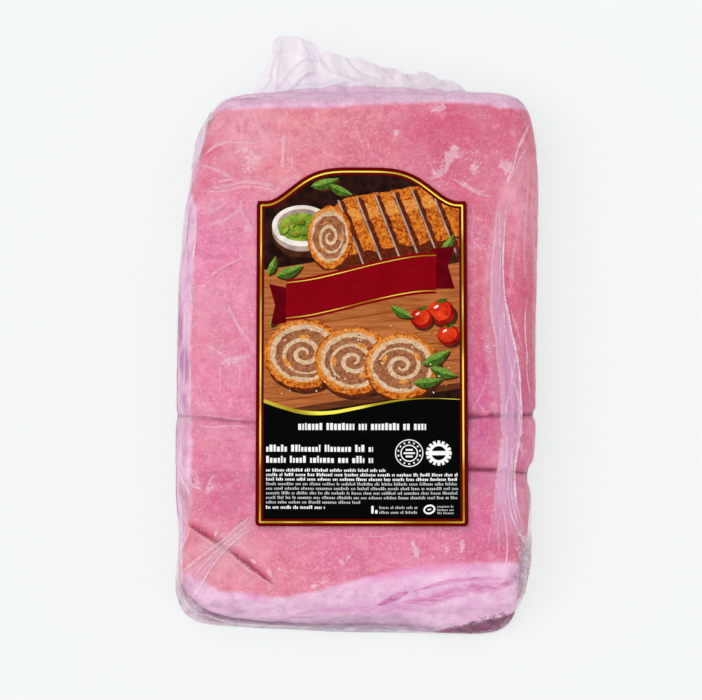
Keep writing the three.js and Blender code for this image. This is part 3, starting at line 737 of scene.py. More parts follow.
# Soft zones of the skin's colour: middle in the picture, radius in mm, and how strong.
# Deeper skin; the zones along the right edge are painted shade, where that side turns away from the light.
DEEP_AND_SHADE_ZONES = [
    (480, 140, 40, 0.76), (400, 130, 30, 0.3), (480, 235, 22, 0.3), (482, 330, 26, 1.1), (478, 440, 17, 1.6),
    (500, 445, 12, 0.5), (485, 520, 26, 0.62), (530, 330, 14, 1.2), (528, 250, 12, 0.1), (340, 540, 22, 0.3),
    (210, 142, 7, 0.6), (365, 580, 12, 0.4), (232, 575, 12, 0.25), (225, 240, 10, 0.25), (528, 385, 12, 1.0),
    (520, 545, 9, 0.8), (205, 182, 7, 0.6), (345, 150, 14, 0.35), (470, 130, 16, 0.5), (222, 468, 26, 0.35),
    (478, 442, 14, 0.7), (527, 362, 13, 0.8), (208, 150, 9, 0.5), (465, 555, 14, 0.3), (485, 165, 26, 0.32),
    (490, 250, 24, 0.15), (492, 340, 24, 0.35), (525, 300, 22, 0.3), (250, 560, 26, 0.25), (490, 445, 18, 0.5),
    (477, 443, 13, 0.9), (228, 500, 18, 0.5), (205, 455, 14, 0.3), (480, 330, 18, 0.4), (520, 350, 14, 0.5),
]
MAGENTA_ZONES = [
    (210, 260, 24, 0.9), (225, 380, 34, 0.7), (235, 480, 26, 0.45), (370, 550, 36, 0.6), (480, 440, 16, 1.5),
    (505, 445, 16, 1.2), (485, 520, 26, 0.8), (490, 380, 20, 0.6), (228, 210, 16, 0.4), (212, 250, 10, 0.6),
    (480, 395, 12, 0.7), (478, 442, 14, 0.8),
]
SALMON_ZONES = [
    (300, 135, 34, 0.9), (350, 150, 30, 0.8), (205, 575, 14, 1.2), (230, 568, 16, 1.1), (300, 575, 16, 0.5),
    (530, 300, 12, 0.5), (250, 130, 20, 0.4), (480, 160, 26, 0.4), (520, 180, 12, 0.5), (195, 540, 10, 0.8),
    (220, 350, 14, 0.5), (200, 350, 10, 0.4),
]
PALE_ZONES = [
    (235, 130, 14, 0.8), (262, 140, 14, 0.7), (215, 200, 10, 0.5), (250, 290, 14, 0.4), (205, 440, 12, 0.5),
    (225, 440, 16, 0.4), (515, 180, 14, 0.7), (520, 500, 12, 0.6), (220, 565, 16, 0.65), (525, 440, 9, 0.5),
    (245, 560, 10, 0.5), (200, 300, 8, 0.5), (500, 470, 8, 0.6), (522, 215, 14, 0.6),
]
# A pink glow in the fat just below the skin's edge.
GLOW_ZONES = [
    (425, 564, 20, 1.1), (385, 575, 10, 0.7), (470, 562, 12, 0.6), (255, 598, 5.5, 0.9),
]
# Soft patches: middle and half size in the picture's pixels, turn, strength.
PURPLE_PATCHES = [
    (178.5, 326, 2.6, 19, 0, 1.3), (182.5, 364, 4.0, 13, 8, 1.6), (182.5, 400, 2.8, 13, 10, 0.8),
    (178.5, 300, 1.8, 12, 0, 0.5), (177.5, 430, 2.0, 16, 0, 0.5), (249, 97.4, 15, 1.2, 4, 0.9),
    (525, 99.5, 6, 1.5, -14, 1.2), (360, 95.5, 60, 0.8, 3, 0.12), (516.5, 578, 2.0, 3.6, 20, 1.0),
]
BROWN_PATCHES = [
    (185.5, 502, 4.2, 17, 8, 1.1), (189, 520, 3.4, 7, 10, 0.8), (184.5, 436, 4, 30, 0, 0.5),
    (187, 255, 3, 28, 0, 0.3),
]
# Patches of painted shade along the near face's foot, where it turns under.
FOOT_SHADE_PATCHES = [
    (240, 615, 9, 2.6, 4, 0.9), (310, 621, 18, 2.0, 2, 0.8), (393, 618, 7, 3.0, 0, 0.8),
    (205, 611, 12, 2.4, 22, 0.6), (365, 623, 52, 4.5, 0, 0.9), (470, 612, 22, 3.0, -8, 0.5),
    (445, 612, 55, 6, -3, 0.3), (255, 604, 50, 4, 3, 0.3),
]
# The slab's near edge, where the face turns under.
NEAR_EDGE = [
    (172, 590), (180, 606), (192, 617), (212, 624), (245, 628), (300, 631), (350, 631), (400, 632), (425, 634.5),
    (470, 635.5), (500, 632), (515, 624), (524, 606),
]


PATCH_FALL = 0.7  # how fast a patch fades: more is faster


def zone_strength(x, y, zones):
    """Sum of soft round zones at (x, y)."""
    total = np.zeros(np.shape(x))
    for px, py, radius, strength in zones:
        cx, cy = on_plane([(px, py)], SKIN_LEVEL)[0]
        total += strength * bell(np.hypot(x - cx, y - cy), radius)
    return total


def patch_strength(x, y, patches):
    """The strongest of the soft turned patches at (x, y)."""
    total = np.zeros(np.shape(x))
    for px, py, wide, tall, turn, strength in patches:
        cx, cy = on_plane([(px, py)], SKIN_LEVEL)[0]
        turn = math.radians(turn)
        u = ((x - cx) * math.cos(turn) + (y - cy) * math.sin(turn)) / (wide * PIXEL_MM)
        v = (-(x - cx) * math.sin(turn) + (y - cy) * math.cos(turn)) / (tall * PIXEL_MM)
        total = np.maximum(total, strength * np.exp(-(u * u + v * v) * PATCH_FALL))
    return total


# ---- The meat -------------------------------------------------------------------------------------


RIM_LEVEL = 43.5  # how high the top's edge is
# The soft shade beside the label's right and near edges: its offset, its reach, and where it ends down the sides.
LABEL_SHADE, LABEL_SHADE_REACH, LABEL_SHADE_HEIGHTS = (1.3, -1.1), 2.0, (35, 40)
SIDE_SKIN_FOOT, RIGHT_SKIN_FOOT = 35, 12  # the skin reaches down the sides to about these heights
SKIN_UNEVENNESS = [(2.2, 30, 11), (0.8, 9, 12)]
NEAR_FACE, RIGHT_FACE = 0.45, (0.35, 0.8)  # how much a side has to face that way to count as the face
NOT_SKIN, WELL_IN_SKIN, NO_SKIN_HEIGHT = -20, 40, 3
STREAK_MARGIN, STREAK_FADE = (0.6, 2.4), 0.02  # round a streak in mm, and at its ends as a share of it
NOT_LEAN, HARDLY_LEAN = -10, -6
# The fat's foot is made darker and greyer as painted shade, where the slab turns under.
SHADED_FOOT, NEAR_SHADED_FOOT = (1, 9), (0.5, 9)  # the fat's duller foot ends between these heights
CREASE_DARK_WIDTH = 0.62
# Painted shade on the skin above each straight crease:
CREASE_SIDE_SHADE = (0.22, 0.8, 2.0)  # how dark the skin above a straight crease is, how far off, and how wide
UPPER_LEAN, LOWER_LEAN, FAR_LEAN_DROP = (26, 2.0), (9, 5.2), 7  # height and half thickness of the layers of lean


def above_near_edge(x, v):
    """How far a place on the near face shows above the slab's near edge."""
    edge = on_face(NEAR_EDGE)
    return v - np.interp(x, edge[:, 0], edge[:, 1])


def meat_values(points, facing):
    """Float attributes that tell the meat's material what each place is."""
    x, y, z = points.T
    v = y * UP[1] + z * UP[2]
    near_share = np.clip(-facing[:, 1], 0, 1) ** 2
    right_share = np.clip(facing[:, 0], 0, 1) ** 2

    skin_corners = on_plane(SKIN_OUTLINE, SKIN_LEVEL)
    skin_corners = np.stack([skin_corners[:, 0], skin_corners[:, 1] * UP[1] + SKIN_LEVEL * UP[2]], 1)
    skin = region_field(x, v, skin_corners)
    wavy = lumpy(points, *SKIN_UNEVENNESS)
    side_limit = (z - SIDE_SKIN_FOOT - wavy) * 0.8
    right_limit = (z - RIGHT_SKIN_FOOT - 1.5 * wavy) * 0.9
    limit = lerp(side_limit, right_limit, smoothstep(right_share, *RIGHT_FACE))
    limit = np.where((facing == 0).all(1), WELL_IN_SKIN, limit)
    skin = np.where(near_share > NEAR_FACE, skin, np.minimum(skin, limit))
    skin = np.where(z < NO_SKIN_HEIGHT, NOT_SKIN, skin)

    values = {"skin_mm": skin}
    zone = np.zeros(len(x))
    for key, (pixels, widths) in FACE_STREAKS.items():
        line = on_face(pixels)
        signed, place = line_field(x, v, line)
        half = np.interp(place, np.linspace(0, 1, len(widths)), widths)
        values[key] = np.clip(signed / half, -30, 30)
        close = 1 - smoothstep(np.abs(signed) - half, *STREAK_MARGIN)
        zone = np.maximum(zone, close * within(place, STREAK_FADE))
    values["streak_zone"] = zone * smoothstep(near_share, 0.1, 0.3)

    # Layers of lean round the other sides, by height, each waving up and down along the slab.
    far_share = np.clip(facing[:, 1], 0, 1) ** 2
    flat = points * (1, 1, 0.2)
    (upper_z, upper_thick), (lower_z, lower_thick) = UPPER_LEAN, LOWER_LEAN
    upper = upper_z - FAR_LEAN_DROP * far_share + 2.6 * lumps(flat, 38, 21) + 0.7 * lumps(points, 8, 22)
    lower = lower_z + 3.0 * lumps(flat, 46, 23) + 0.9 * lumps(points, 9, 24)
    upper_half = upper_thick + 1.6 * lumps(flat, 27, 25)
    lower_half = lower_thick + 1.8 * lumps(flat, 33, 26)
    layers = np.maximum(upper_half - np.abs(z - upper), lower_half - np.abs(z - lower))
    off_near = smoothstep(near_share, 0.55, 0.25)
    values["lean_side"] = np.where((facing == 0).all(1), NOT_LEAN, lerp(HARDLY_LEAN, layers, off_near))
    # The creases' lines, with the end's skew and their lean down the sides taken back, and how dark the painted
    # shade in each is.
    straight, upright = without_skew(x, y), without_lean(x, y, z)
    dark = np.zeros(len(x))
    beside_share, beside_offset, beside_width = CREASE_SIDE_SHADE
    for k, left_dark in enumerate(CREASE_LEFT_DARK):
        strength, distance = turned(left_dark, x), crease_distance(k, x, upright)
        width = CREASE_DARK_WIDTH + 0.3 * lumps(points, 5, 27)
        dark = np.maximum(dark, strength * bell(distance, width))
        dark = np.maximum(dark, beside_share * strength * bell(distance - beside_offset, beside_width))
    values["crease"] = dark
    for key, zones in (("deep_and_shade", DEEP_AND_SHADE_ZONES), ("magenta", MAGENTA_ZONES), ("salmon", SALMON_ZONES),
                       ("pale", PALE_ZONES), ("glow", GLOW_ZONES)):
        values[key] = zone_strength(x, y, zones)
    for key, patches in (("purple", PURPLE_PATCHES), ("brown", BROWN_PATCHES), ("foot_shade", FOOT_SHADE_PATCHES)):
        values[key] = patch_strength(x, as_seen(y, z), patches)
    # How far the fat's painted shade at its foot reaches; the same value sets the meat's gap to the film at the
    # near edge.
    near_low = 1 - smoothstep(above_near_edge(x, v), *NEAR_SHADED_FOOT)
    values["low"] = lerp(1 - smoothstep(z, *SHADED_FOOT), near_low, smoothstep(near_share, 0.2, 0.6))
    values["label_shade"] = (under_label(x - LABEL_SHADE[0], y - LABEL_SHADE[1], LABEL_SHADE_REACH)
                             * smoothstep(z, *LABEL_SHADE_HEIGHTS))
    (x0, y0), (x1, y1) = CORNER_CREASE
    diagonal = [(lerp(x0, x1, t), lerp(y0, y1, t) + CORNER_CREASE_BOW * math.sin(math.pi * t))
                for t in CREASE_C_PLACES]
    signed, place = line_field(x, straight, np.array(diagonal))
    values["crease_c"] = signed / np.interp(place, CREASE_C_PLACES, CREASE_C_WIDTHS)
    values["crease_c_zone"] = ((1 - smoothstep(np.abs(signed), 3, 5))
                               * np.interp(place, CREASE_C_PLACES, CREASE_C_DARK))
    return values


def pork_material():
    n = Nodes("pork_belly")
    blotch = n.noise(24, 3, 0.55)
    mottle = n.noise(6, 4, 0.62)
    grain = n.noise(1.5, 3, 0.65)
    fine = n.noise(0.6, 2, 0.6)

    def amount(name, spread_by=0.5):
        """An attribute broken up by the mottle, so that its zones have no smooth edge."""
        return (n.attribute(name) + (mottle - 0.5) * spread_by).clamped()

    # Skin: rose pink with salmon, magenta, deeper and paler zones, finely mottled; the deeper zones along the right
    # edge are painted shade.
    flecks = n.step(n.attribute("deep_and_shade"), 0.2, 1.2, 1.0, 0.35)
    skin = n.layered(
        n.two_tone(blotch, 0.34, 0.66, (226, 126, 150), (232, 134, 163)),
        (amount("salmon") * 0.85, (232, 134, 140)),
        (amount("magenta") * 0.8, (232, 118, 172)),
        (amount("deep_and_shade") * 0.82, n.mix(amount("magenta"), (208, 62, 106), (200, 48, 126))),
        (amount("pale") * 0.6, (240, 168, 188)),
        (n.step(mottle, 0.44, 0.70, 0, 0.6), (206, 84, 120)),
        (n.step(mottle, 0.46, 0.30, 0, 0.45), (246, 172, 188)),
        (n.step(grain, 0.47, 0.70, 0, 0.54) * flecks, (247, 178, 198)),
        (n.step(grain, 0.47, 0.26, 0, 0.45), (196, 76, 108)),
        (n.step(fine, 0.55, 0.74, 0, 0.5), (190, 76, 106)),
        (n.step(fine, 0.42, 0.26, 0, 0.42) * flecks, (252, 196, 210)))
    # Fat: pale lilac pink, greyer and duller towards the slab's lower edge, which is painted shade, with patches of
    # painted shade along the near face's foot.
    low = n.step(n.attribute("low") + n.uneven(0.7, 7, 3, 0.6), 0.3, 1.1, 0, 0.95)
    fat = n.layered(
        n.two_tone(n.noise(9, 3, 0.6), 0.35, 0.68, (229, 177, 210), (242, 201, 227)),
        (n.step(grain, 0.52, 0.8, 0, 0.25), (219, 160, 198)),
        (low, n.two_tone(mottle, 0.35, 0.7, (184, 148, 178), (146, 112, 142))),
        (amount("foot_shade", 0.8) * 0.7, (150, 118, 150)),
        (amount("purple", 0.9) * 0.9, (178, 98, 160)),
        (amount("brown", 0.8) * 0.8, (196, 116, 132)))
    # Lean streaks in the near face, a line of painted shade along its foot, and layers round the other sides.
    ragged = n.uneven(1.7, 2.6, 3, 0.7, 0.4) + n.uneven(0.7, 0.8, 2, 0.6)
    zone = n.step(n.attribute("streak_zone"), 0.15, 0.5)

    def streak(name, strength, soft=0.45, raggedness=1.0):
        away = abs(n.attribute(name)) + ragged * raggedness
        return n.step(away, 1.0 + soft, 1.0 - soft, 0, strength) * zone

    drawn = n.noise(1.8, 3, 0.6, 0.4, n.stretched(0.3, 1, 1.2))
    lean = n.two_tone(drawn, 0.28, 0.74, (196, 92, 160), (230, 166, 208))
    side = n.attribute("lean_side") + ragged * 1.1
    meat = n.layered(
        fat,
        (streak("lean_band", 0.75, 0.85), n.two_tone(drawn, 0.4, 0.6, (206, 134, 188), (222, 166, 206))),
        (streak("lean_main", 0.9, 0.6), lean),
        (streak("lean_thin", 0.75, 0.65), lean),
        (streak("lean_patch", 0.85, 0.5), n.two_tone(drawn, 0.4, 0.6, (188, 78, 150), (212, 128, 184))),
        # The line of painted shade along the near face's foot.
        (streak("foot_shade_line", 0.8, 0.6), (124, 52, 98)),
        (streak("lean_low", 1.0, raggedness=1.6), n.two_tone(mottle, 0.35, 0.65, (134, 2, 86), (76, 0, 48))),
        (n.step(side, -0.6, 0.8, 0, 0.9), n.two_tone(mottle, 0.35, 0.7, (182, 84, 130), (148, 52, 92))))
    # The skin's cut edge, with a pink glow below it in places.
    edge = n.attribute("skin_mm") + n.uneven(3.0, 5, 3, 0.6)
    glow = n.step(edge, -5.5, -0.4) * amount("glow", 0.3)
    # The diagonal crease: a darker strip of painted shade above it, a pale lip below it, and the cut itself, dark
    # with painted shade.
    beside = n.attribute("crease_c") + ragged * 0.9
    zone_c = n.step(n.attribute("crease_c_zone"), 0.15, 0.7)
    above = n.step(beside, 0.0, 0.6) * n.step(beside, 5.0, 0.8, 0, 0.8)
    lip = n.step(beside, -3.2, -1.7) * n.step(beside, -0.7, -1.6, 0, 0.5)
    cut = n.step(abs(beside + ragged * 0.8), 1.3, 0.3, 0, 0.9)
    base = n.layered(
        meat,
        (glow * 0.8, (232, 134, 194)),
        (n.step(edge, -1.0, 1.6), skin),
        # The straight creases, with painted shade: dark at the bottom of each cut, and softer on the skin above it.
        (n.attribute("crease") * n.step(mottle, 0.25, 0.6, 0.7, 1.0), (112, 2, 44)),
        (above * zone_c, (202, 84, 116)),
        (lip * zone_c, (248, 194, 202)),
        (cut * zone_c, n.two_tone(mottle, 0.4, 0.6, (166, 16, 54), (150, 58, 100))),
        (n.attribute("label_shade") * 0.5, (150, 74, 108)))
    return n.surface(Base_Color=base, Roughness=n.step(mottle, 0.3, 0.7, 0.42, 0.6), Specular_IOR_Level=0.3,
                     Normal=n.bump(grain * 0.5 + fine * 0.3 + mottle * 1.2, 0.25, 0.6))


MEAT_INSET, MEAT_RELIEF = 0.42, 0.6  # how far inside the slab's own surface the meat lies, and its relief's share
MEAT_FOOT = 0.12  # the least height of the meat above the bag's underside
# Where the meat stands off the film: x, y, depth and reach; and along the near edge, as (x, depth).
STAND_OFF = [(84, -98, 1.7, 17), (-84, -124, 3.0, 13), (-76, 108, 0.5, 20), (-62, -138, 0.5, 22)]
NEAR_EDGE_GAP = [(-85, 1.4), (-60, 0.9), (20, 1.2), (40, 0.4), (85, 0.2)]
SIDEWAYS = (0.2, 0.9)  # a surface that faces up by less than this counts as a side, fading out over this range

meat_points, slab_quads, slab_caps, slab_facing = slab_mesh(meat_top)
slab_faces = list(slab_quads) + slab_caps
attributes = meat_values(meat_points, slab_facing)
meat_normals = point_normals(meat_points, slab_quads)
relief = lumpy(meat_points, (0.35, 16, 1), (0.18, 6, 2), (0.06, 2.4, 3))
calm = 1 - 0.7 * under_label(meat_points[:, 0], meat_points[:, 1], 3)
flat = smoothstep(meat_points[:, 2], 0, 3)
stand_off = sum(depth * bell(np.hypot(meat_points[:, 0] - x, meat_points[:, 1] - y), reach)
                for x, y, depth, reach in STAND_OFF)
edge_gap = along(NEAR_EDGE_GAP, meat_points[:, 0]) * attributes["low"] * np.clip(-slab_facing[:, 1], 0, 1)
side_only = 1 - smoothstep(meat_normals[:, 2], *SIDEWAYS)
meat_shift = (-MEAT_INSET + relief * calm * MEAT_RELIEF - (stand_off + edge_gap) * side_only) * flat
meat_points = meat_points + meat_normals * meat_shift[:, None]
meat_points[:, 2] = np.maximum(meat_points[:, 2], MEAT_FOOT)
pork = make_piece("pork_belly", meat_points, slab_faces, [pork_material()], attributes)
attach(pork, "root")
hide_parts("sealed_slab")

# ---- The film -------------------------------------------------------------------------------------


# Milky patches where the film stands off the skin: middle and size in the picture, turn, strength.
MILKY_PATCHES = [
    (439, 108, 9, 5, 20, 0.9), (395.5, 132.5, 4, 4, 0, 0.8), (451, 156, 7, 12, -30, 1.0),
    (440, 172, 12, 5, 35, 0.9), (474, 168, 6, 8, 0, 0.8), (507, 167, 7, 9, 0, 0.9), (466, 186, 16, 4, -25, 0.7),
    (254, 160, 12, 9, 30, 0.8), (243, 150, 10, 6, 0, 0.6), (217, 161, 6, 3, 10, 0.7), (246, 171, 7, 4, 10, 0.6),
    (247.5, 229, 5, 9, 10, 0.7), (209, 236, 7, 22, 5, 0.35), (234, 360, 16, 5, 15, 0.8), (214, 350, 12, 7, 0, 0.55),
    (197, 480, 6, 12, 20, 0.7), (210, 486, 6, 12, -20, 0.55), (416, 550, 4, 9, 10, 0.8), (413, 543, 4, 4, 0, 0.7),
    (462, 546, 3.5, 7, 0, 0.9), (447, 550, 4, 4, 0, 0.7), (341, 562, 3.5, 3, 0, 0.8), (349, 557, 3, 2.5, 0, 0.7),
    (316, 569.5, 4, 3, 20, 0.7), (324, 581, 4.5, 3, 0, 0.8), (314, 586, 4.5, 3, 20, 0.8),
    (293, 571, 3, 2.5, 0, 0.7), (280, 570, 3, 2.5, 0, 0.7), (230, 310, 12, 26, 12, 0.3), (226, 440, 22, 18, 0, 0.3),
    (478, 250, 8, 26, 0, 0.45), (276, 190, 14, 6, 0, 0.4), (360, 130, 14, 22, 0, 0.3), (270, 135, 26, 18, 20, 0.35),
    (232, 200, 26, 12, 0, 0.4), (200, 540, 18, 24, 30, 0.3), (253, 561, 4.5, 2, -30, 1.4),
    (270, 573, 2.2, 6, 25, 1.2), (216, 534, 2, 4, 20, 1.3), (518, 440, 10, 30, 0, 0.5), (520, 540, 10, 26, 0, 0.5),
    (505, 345, 12, 30, 0, 0.3), (524, 210, 8, 40, 0, 0.3), (499, 341, 3, 4, 0, 0.9), (193, 330, 4, 40, 0, 0.3),
    (340, 545, 50, 8, 0, 0.25),
]
# Clusters of fine crinkles, where painted highlights gather: middle in the picture, radius in mm, and how strong.
CRINKLE_ZONES = [
    (478, 238, 9, 1.0), (478, 300, 7, 0.7), (476, 345, 10, 1.1), (480, 395, 8, 0.9), (478, 165, 13, 1.0),
    (440, 170, 9, 0.8), (225, 375, 11, 0.6), (215, 400, 11, 0.5), (243, 160, 11, 0.9), (325, 575, 16, 0.9),
    (455, 548, 9, 0.9), (210, 480, 9, 0.5), (350, 140, 13, 0.5), (203, 240, 8, 0.6), (292, 148, 11, 0.5),
    (415, 552, 7, 0.8), (214, 285, 7, 0.4), (400, 120, 12, 0.4), (215, 165, 8, 0.7), (510, 170, 7, 0.5),
    (525, 440, 7, 0.4), (232, 470, 9, 0.4),
]
# Places off the near face where loose film stands away from the meat: as the soft patches above.
LOOSE_PATCHES = [
    (527, 572, 4.6, 24, -6, 1.5), (179, 596, 4.5, 16, 10, 0.8), (190, 613, 10, 4, 32, 0.8),
    (531, 500, 3, 16, 0, 0.5),
]
# The same along the near edge, as (x, strength), up to these heights above the edge.
LOOSE_EDGE = [(-85, 0.75), (10, 0.66), (30, 0.42), (42, 0.05), (85, 0.03)]
LOOSE_HEIGHTS = (0.9, 3.4)
# Where the loose film bulges out or draws in: x, y, depth on the sides and on the ends, and reach.
FILM_PUFFS = [
    (-85, -122, 1.5, 0, 13), (84, -92, 0.7, 0, 12), (-62, -137, 0, -0.9, 24), (26, -141, 0, -0.8, 20),
]
VEIL_HEIGHTS = (14, 27)  # the veil on the sides fades out between these heights
# Places on the sides where the film stands off, pale and hardly clear: partly film standing off, partly painted
# reflection of the film seen edge-on.
SIDE_VEIL_AND_REFLECTION = [
    (198.5, 142, 4.6, 27, -13, 1.3), (207, 117, 9, 4.5, 40, 1.0), (184, 232, 3.2, 28, -6, 0.9),
    (190, 186, 2, 10, -10, 0.6), (181, 540, 3.4, 34, 2, 0.55), (380, 99, 200, 5, 0, 0.5),
]
FILM_IOR = 1.46
FILM_OUTSET, FILM_RELIEF, FILM_DIP, CRIMP_HEIGHT = 0.08, 0.6, 0.15, 0.35  # the first: its gap to the slab's surface
TOP_HEIGHTS = (28, 34)  # between these the sides end and the top begins
TAUT_WIDTH, STRAIGHT_TAUT_WIDTH, STRAIGHT_TAUT = 2.4, 1.5, 0.8  # the film is drawn tight this far from creases


def film_material():
    n = Nodes("clear_film")
    wave = n.noise(5, 4, 0.6, 0.6)
    crinkle = n.noise(2.2, 4, 0.65, 1.2)
    haze = n.step(n.noise(18, 4, 0.6, 0.4), 0.36, 0.72, 0.02, 0.13)
    ragged = n.uneven(1.9, 3.2, 4, 0.7, 1.0)
    milk = n.step(n.attribute("milk") + ragged, 0.42, 0.72, 0, 0.36)
    cluster = n.attribute("crinkle")
    # Fine lines all over, and squiggles and frost-like dots in the clusters, as paler, less clear film: partly the
    # film's own crinkles, partly painted highlights.
    lines = n.step(abs(crinkle - 0.5), 0.02, 0.0) * n.step(n.noise(13, 2), 0.5, 0.66, 0, 0.16)
    squiggles = n.step(abs(n.noise(1.5, 3, 0.7, 2.0) - 0.52), 0.03, 0.0, 0, 0.5)
    squiggles = squiggles * cluster * n.step(n.noise(3.5, 3, 0.6), 0.5, 0.62)
    dots = n.step(n.cells(1.7), 0.24, 0.1, 0, 0.7) * n.step(n.noise(8, 3), 0.48, 0.62, 0.08, 1)
    dots = dots * (cluster * 0.7 + 0.55)
    # The film is clearest where it is drawn into the creases.
    clear = n.step(n.attribute("taut"), 0.1, 0.8, 1, 0.15)
    alpha = ((haze + (lines + (squiggles + dots))) * clear + milk + n.attribute("fold") * 0.12).clamped()
    # Off the meat the film is greyer, crimped and less clear.
    loose = (n.attribute("loose") + ragged * 0.3).clamped()
    alpha = (alpha + loose * 0.8).clamped()
    # Pale film on the sides: partly film standing off the meat, partly painted reflection of the film seen edge-on.
    veil_and_reflection = n.step(n.attribute("veil_and_reflection") + ragged * 0.3, 0.15, 0.8)
    alpha = (alpha + veil_and_reflection * 0.68).clamped()
    crimped = n.noise(1.6, 4, 0.6, 0.5, n.stretched(0.3, 1, 0.3))
    colour = n.layered(
        (255, 226, 240),
        (veil_and_reflection, n.two_tone(crinkle, 0.4, 0.6, (246, 224, 240), (236, 206, 228))),
        (n.step(loose, 0.1, 0.7), n.two_tone(crimped, 0.36, 0.64, (176, 146, 170), (222, 205, 219))))
    return n.surface(Base_Color=colour, Roughness=n.step(wave, 0.3, 0.7, 0.2, 0.4), Alpha=alpha, IOR=FILM_IOR,
                     Normal=n.bump(wave + crinkle * 0.4, 0.35, 0.6))


film_points, _, _, _ = slab_mesh(film_top)
film_x, film_y, film_z = film_points.T
film_v = film_y * UP[1] + film_z * UP[2]
film_seen_y = as_seen(film_y, film_z)
near_facing = np.clip(-slab_facing[:, 1], 0, 1) ** 2
on_top = smoothstep(film_z, *TOP_HEIGHTS)
film_share, film_distance = corner_crease(film_x, without_skew(film_x, film_y))
taut = bell(film_distance, TAUT_WIDTH) * within(film_share, 0.1) * on_top
film_upright = without_lean(film_x, film_y, film_z)
for k, left_dark in enumerate(CREASE_LEFT_DARK):
    distance = crease_distance(k, film_x, film_upright)
    taut = np.maximum(taut, STRAIGHT_TAUT * turned(left_dark, film_x) * bell(distance, STRAIGHT_TAUT_WIDTH))
film_values = {
    "taut": taut,
    "fold": np.clip(fold_rise(film_x, film_y) / PLEAT_HEIGHT, 0, 1) * on_top,
    "milk": lerp(0.15, patch_strength(film_x, film_y, MILKY_PATCHES), on_top) - 0.5 * taut,
    "veil_and_reflection": patch_strength(film_x, film_seen_y, SIDE_VEIL_AND_REFLECTION) * smoothstep(film_z, *VEIL_HEIGHTS),
    "crinkle": np.clip(zone_strength(film_x, film_y, CRINKLE_ZONES), 0, 1) * on_top,
    "loose": np.maximum(along(LOOSE_EDGE, film_x) * near_facing
                        * (1 - smoothstep(above_near_edge(film_x, film_v), *LOOSE_HEIGHTS)),
                        patch_strength(film_x, film_seen_y, LOOSE_PATCHES)),
}
film_normals = point_normals(film_points, slab_quads)
film_relief = 0.3 * lumps(film_points, 14, 5) + 0.2 * np.abs(lumps(film_points, 6, 6))
film_calm = 1 - under_label(film_x, film_y, 3)
crimps = CRIMP_HEIGHT * np.abs(lumps(film_points, 2.2, 7)) * np.clip(film_values["loose"], 0, 1)
puffs = sum(bell(np.hypot(film_x - x, film_y - y), reach) * (np.abs(film_normals[:, :2]) ** 3 @ (on_sides, on_ends))
            for x, y, on_sides, on_ends, reach in FILM_PUFFS)
sideways = 1 - smoothstep(film_normals[:, 2], *SIDEWAYS)
film_shift = FILM_OUTSET + np.maximum(film_relief, -FILM_DIP) * FILM_RELIEF * film_calm + crimps + puffs * sideways
film_points = film_points + film_normals * (film_shift * smoothstep(film_z, 0, 2))[:, None]
film_points[:, 2] = np.maximum(film_points[:, 2], 0)
film = make_piece("bag_film", film_points, slab_faces, [film_material()], film_values)
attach(film, "root")
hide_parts("sealed_slab")

# ---- Folds of the film ----------------------------------------------------------------------------

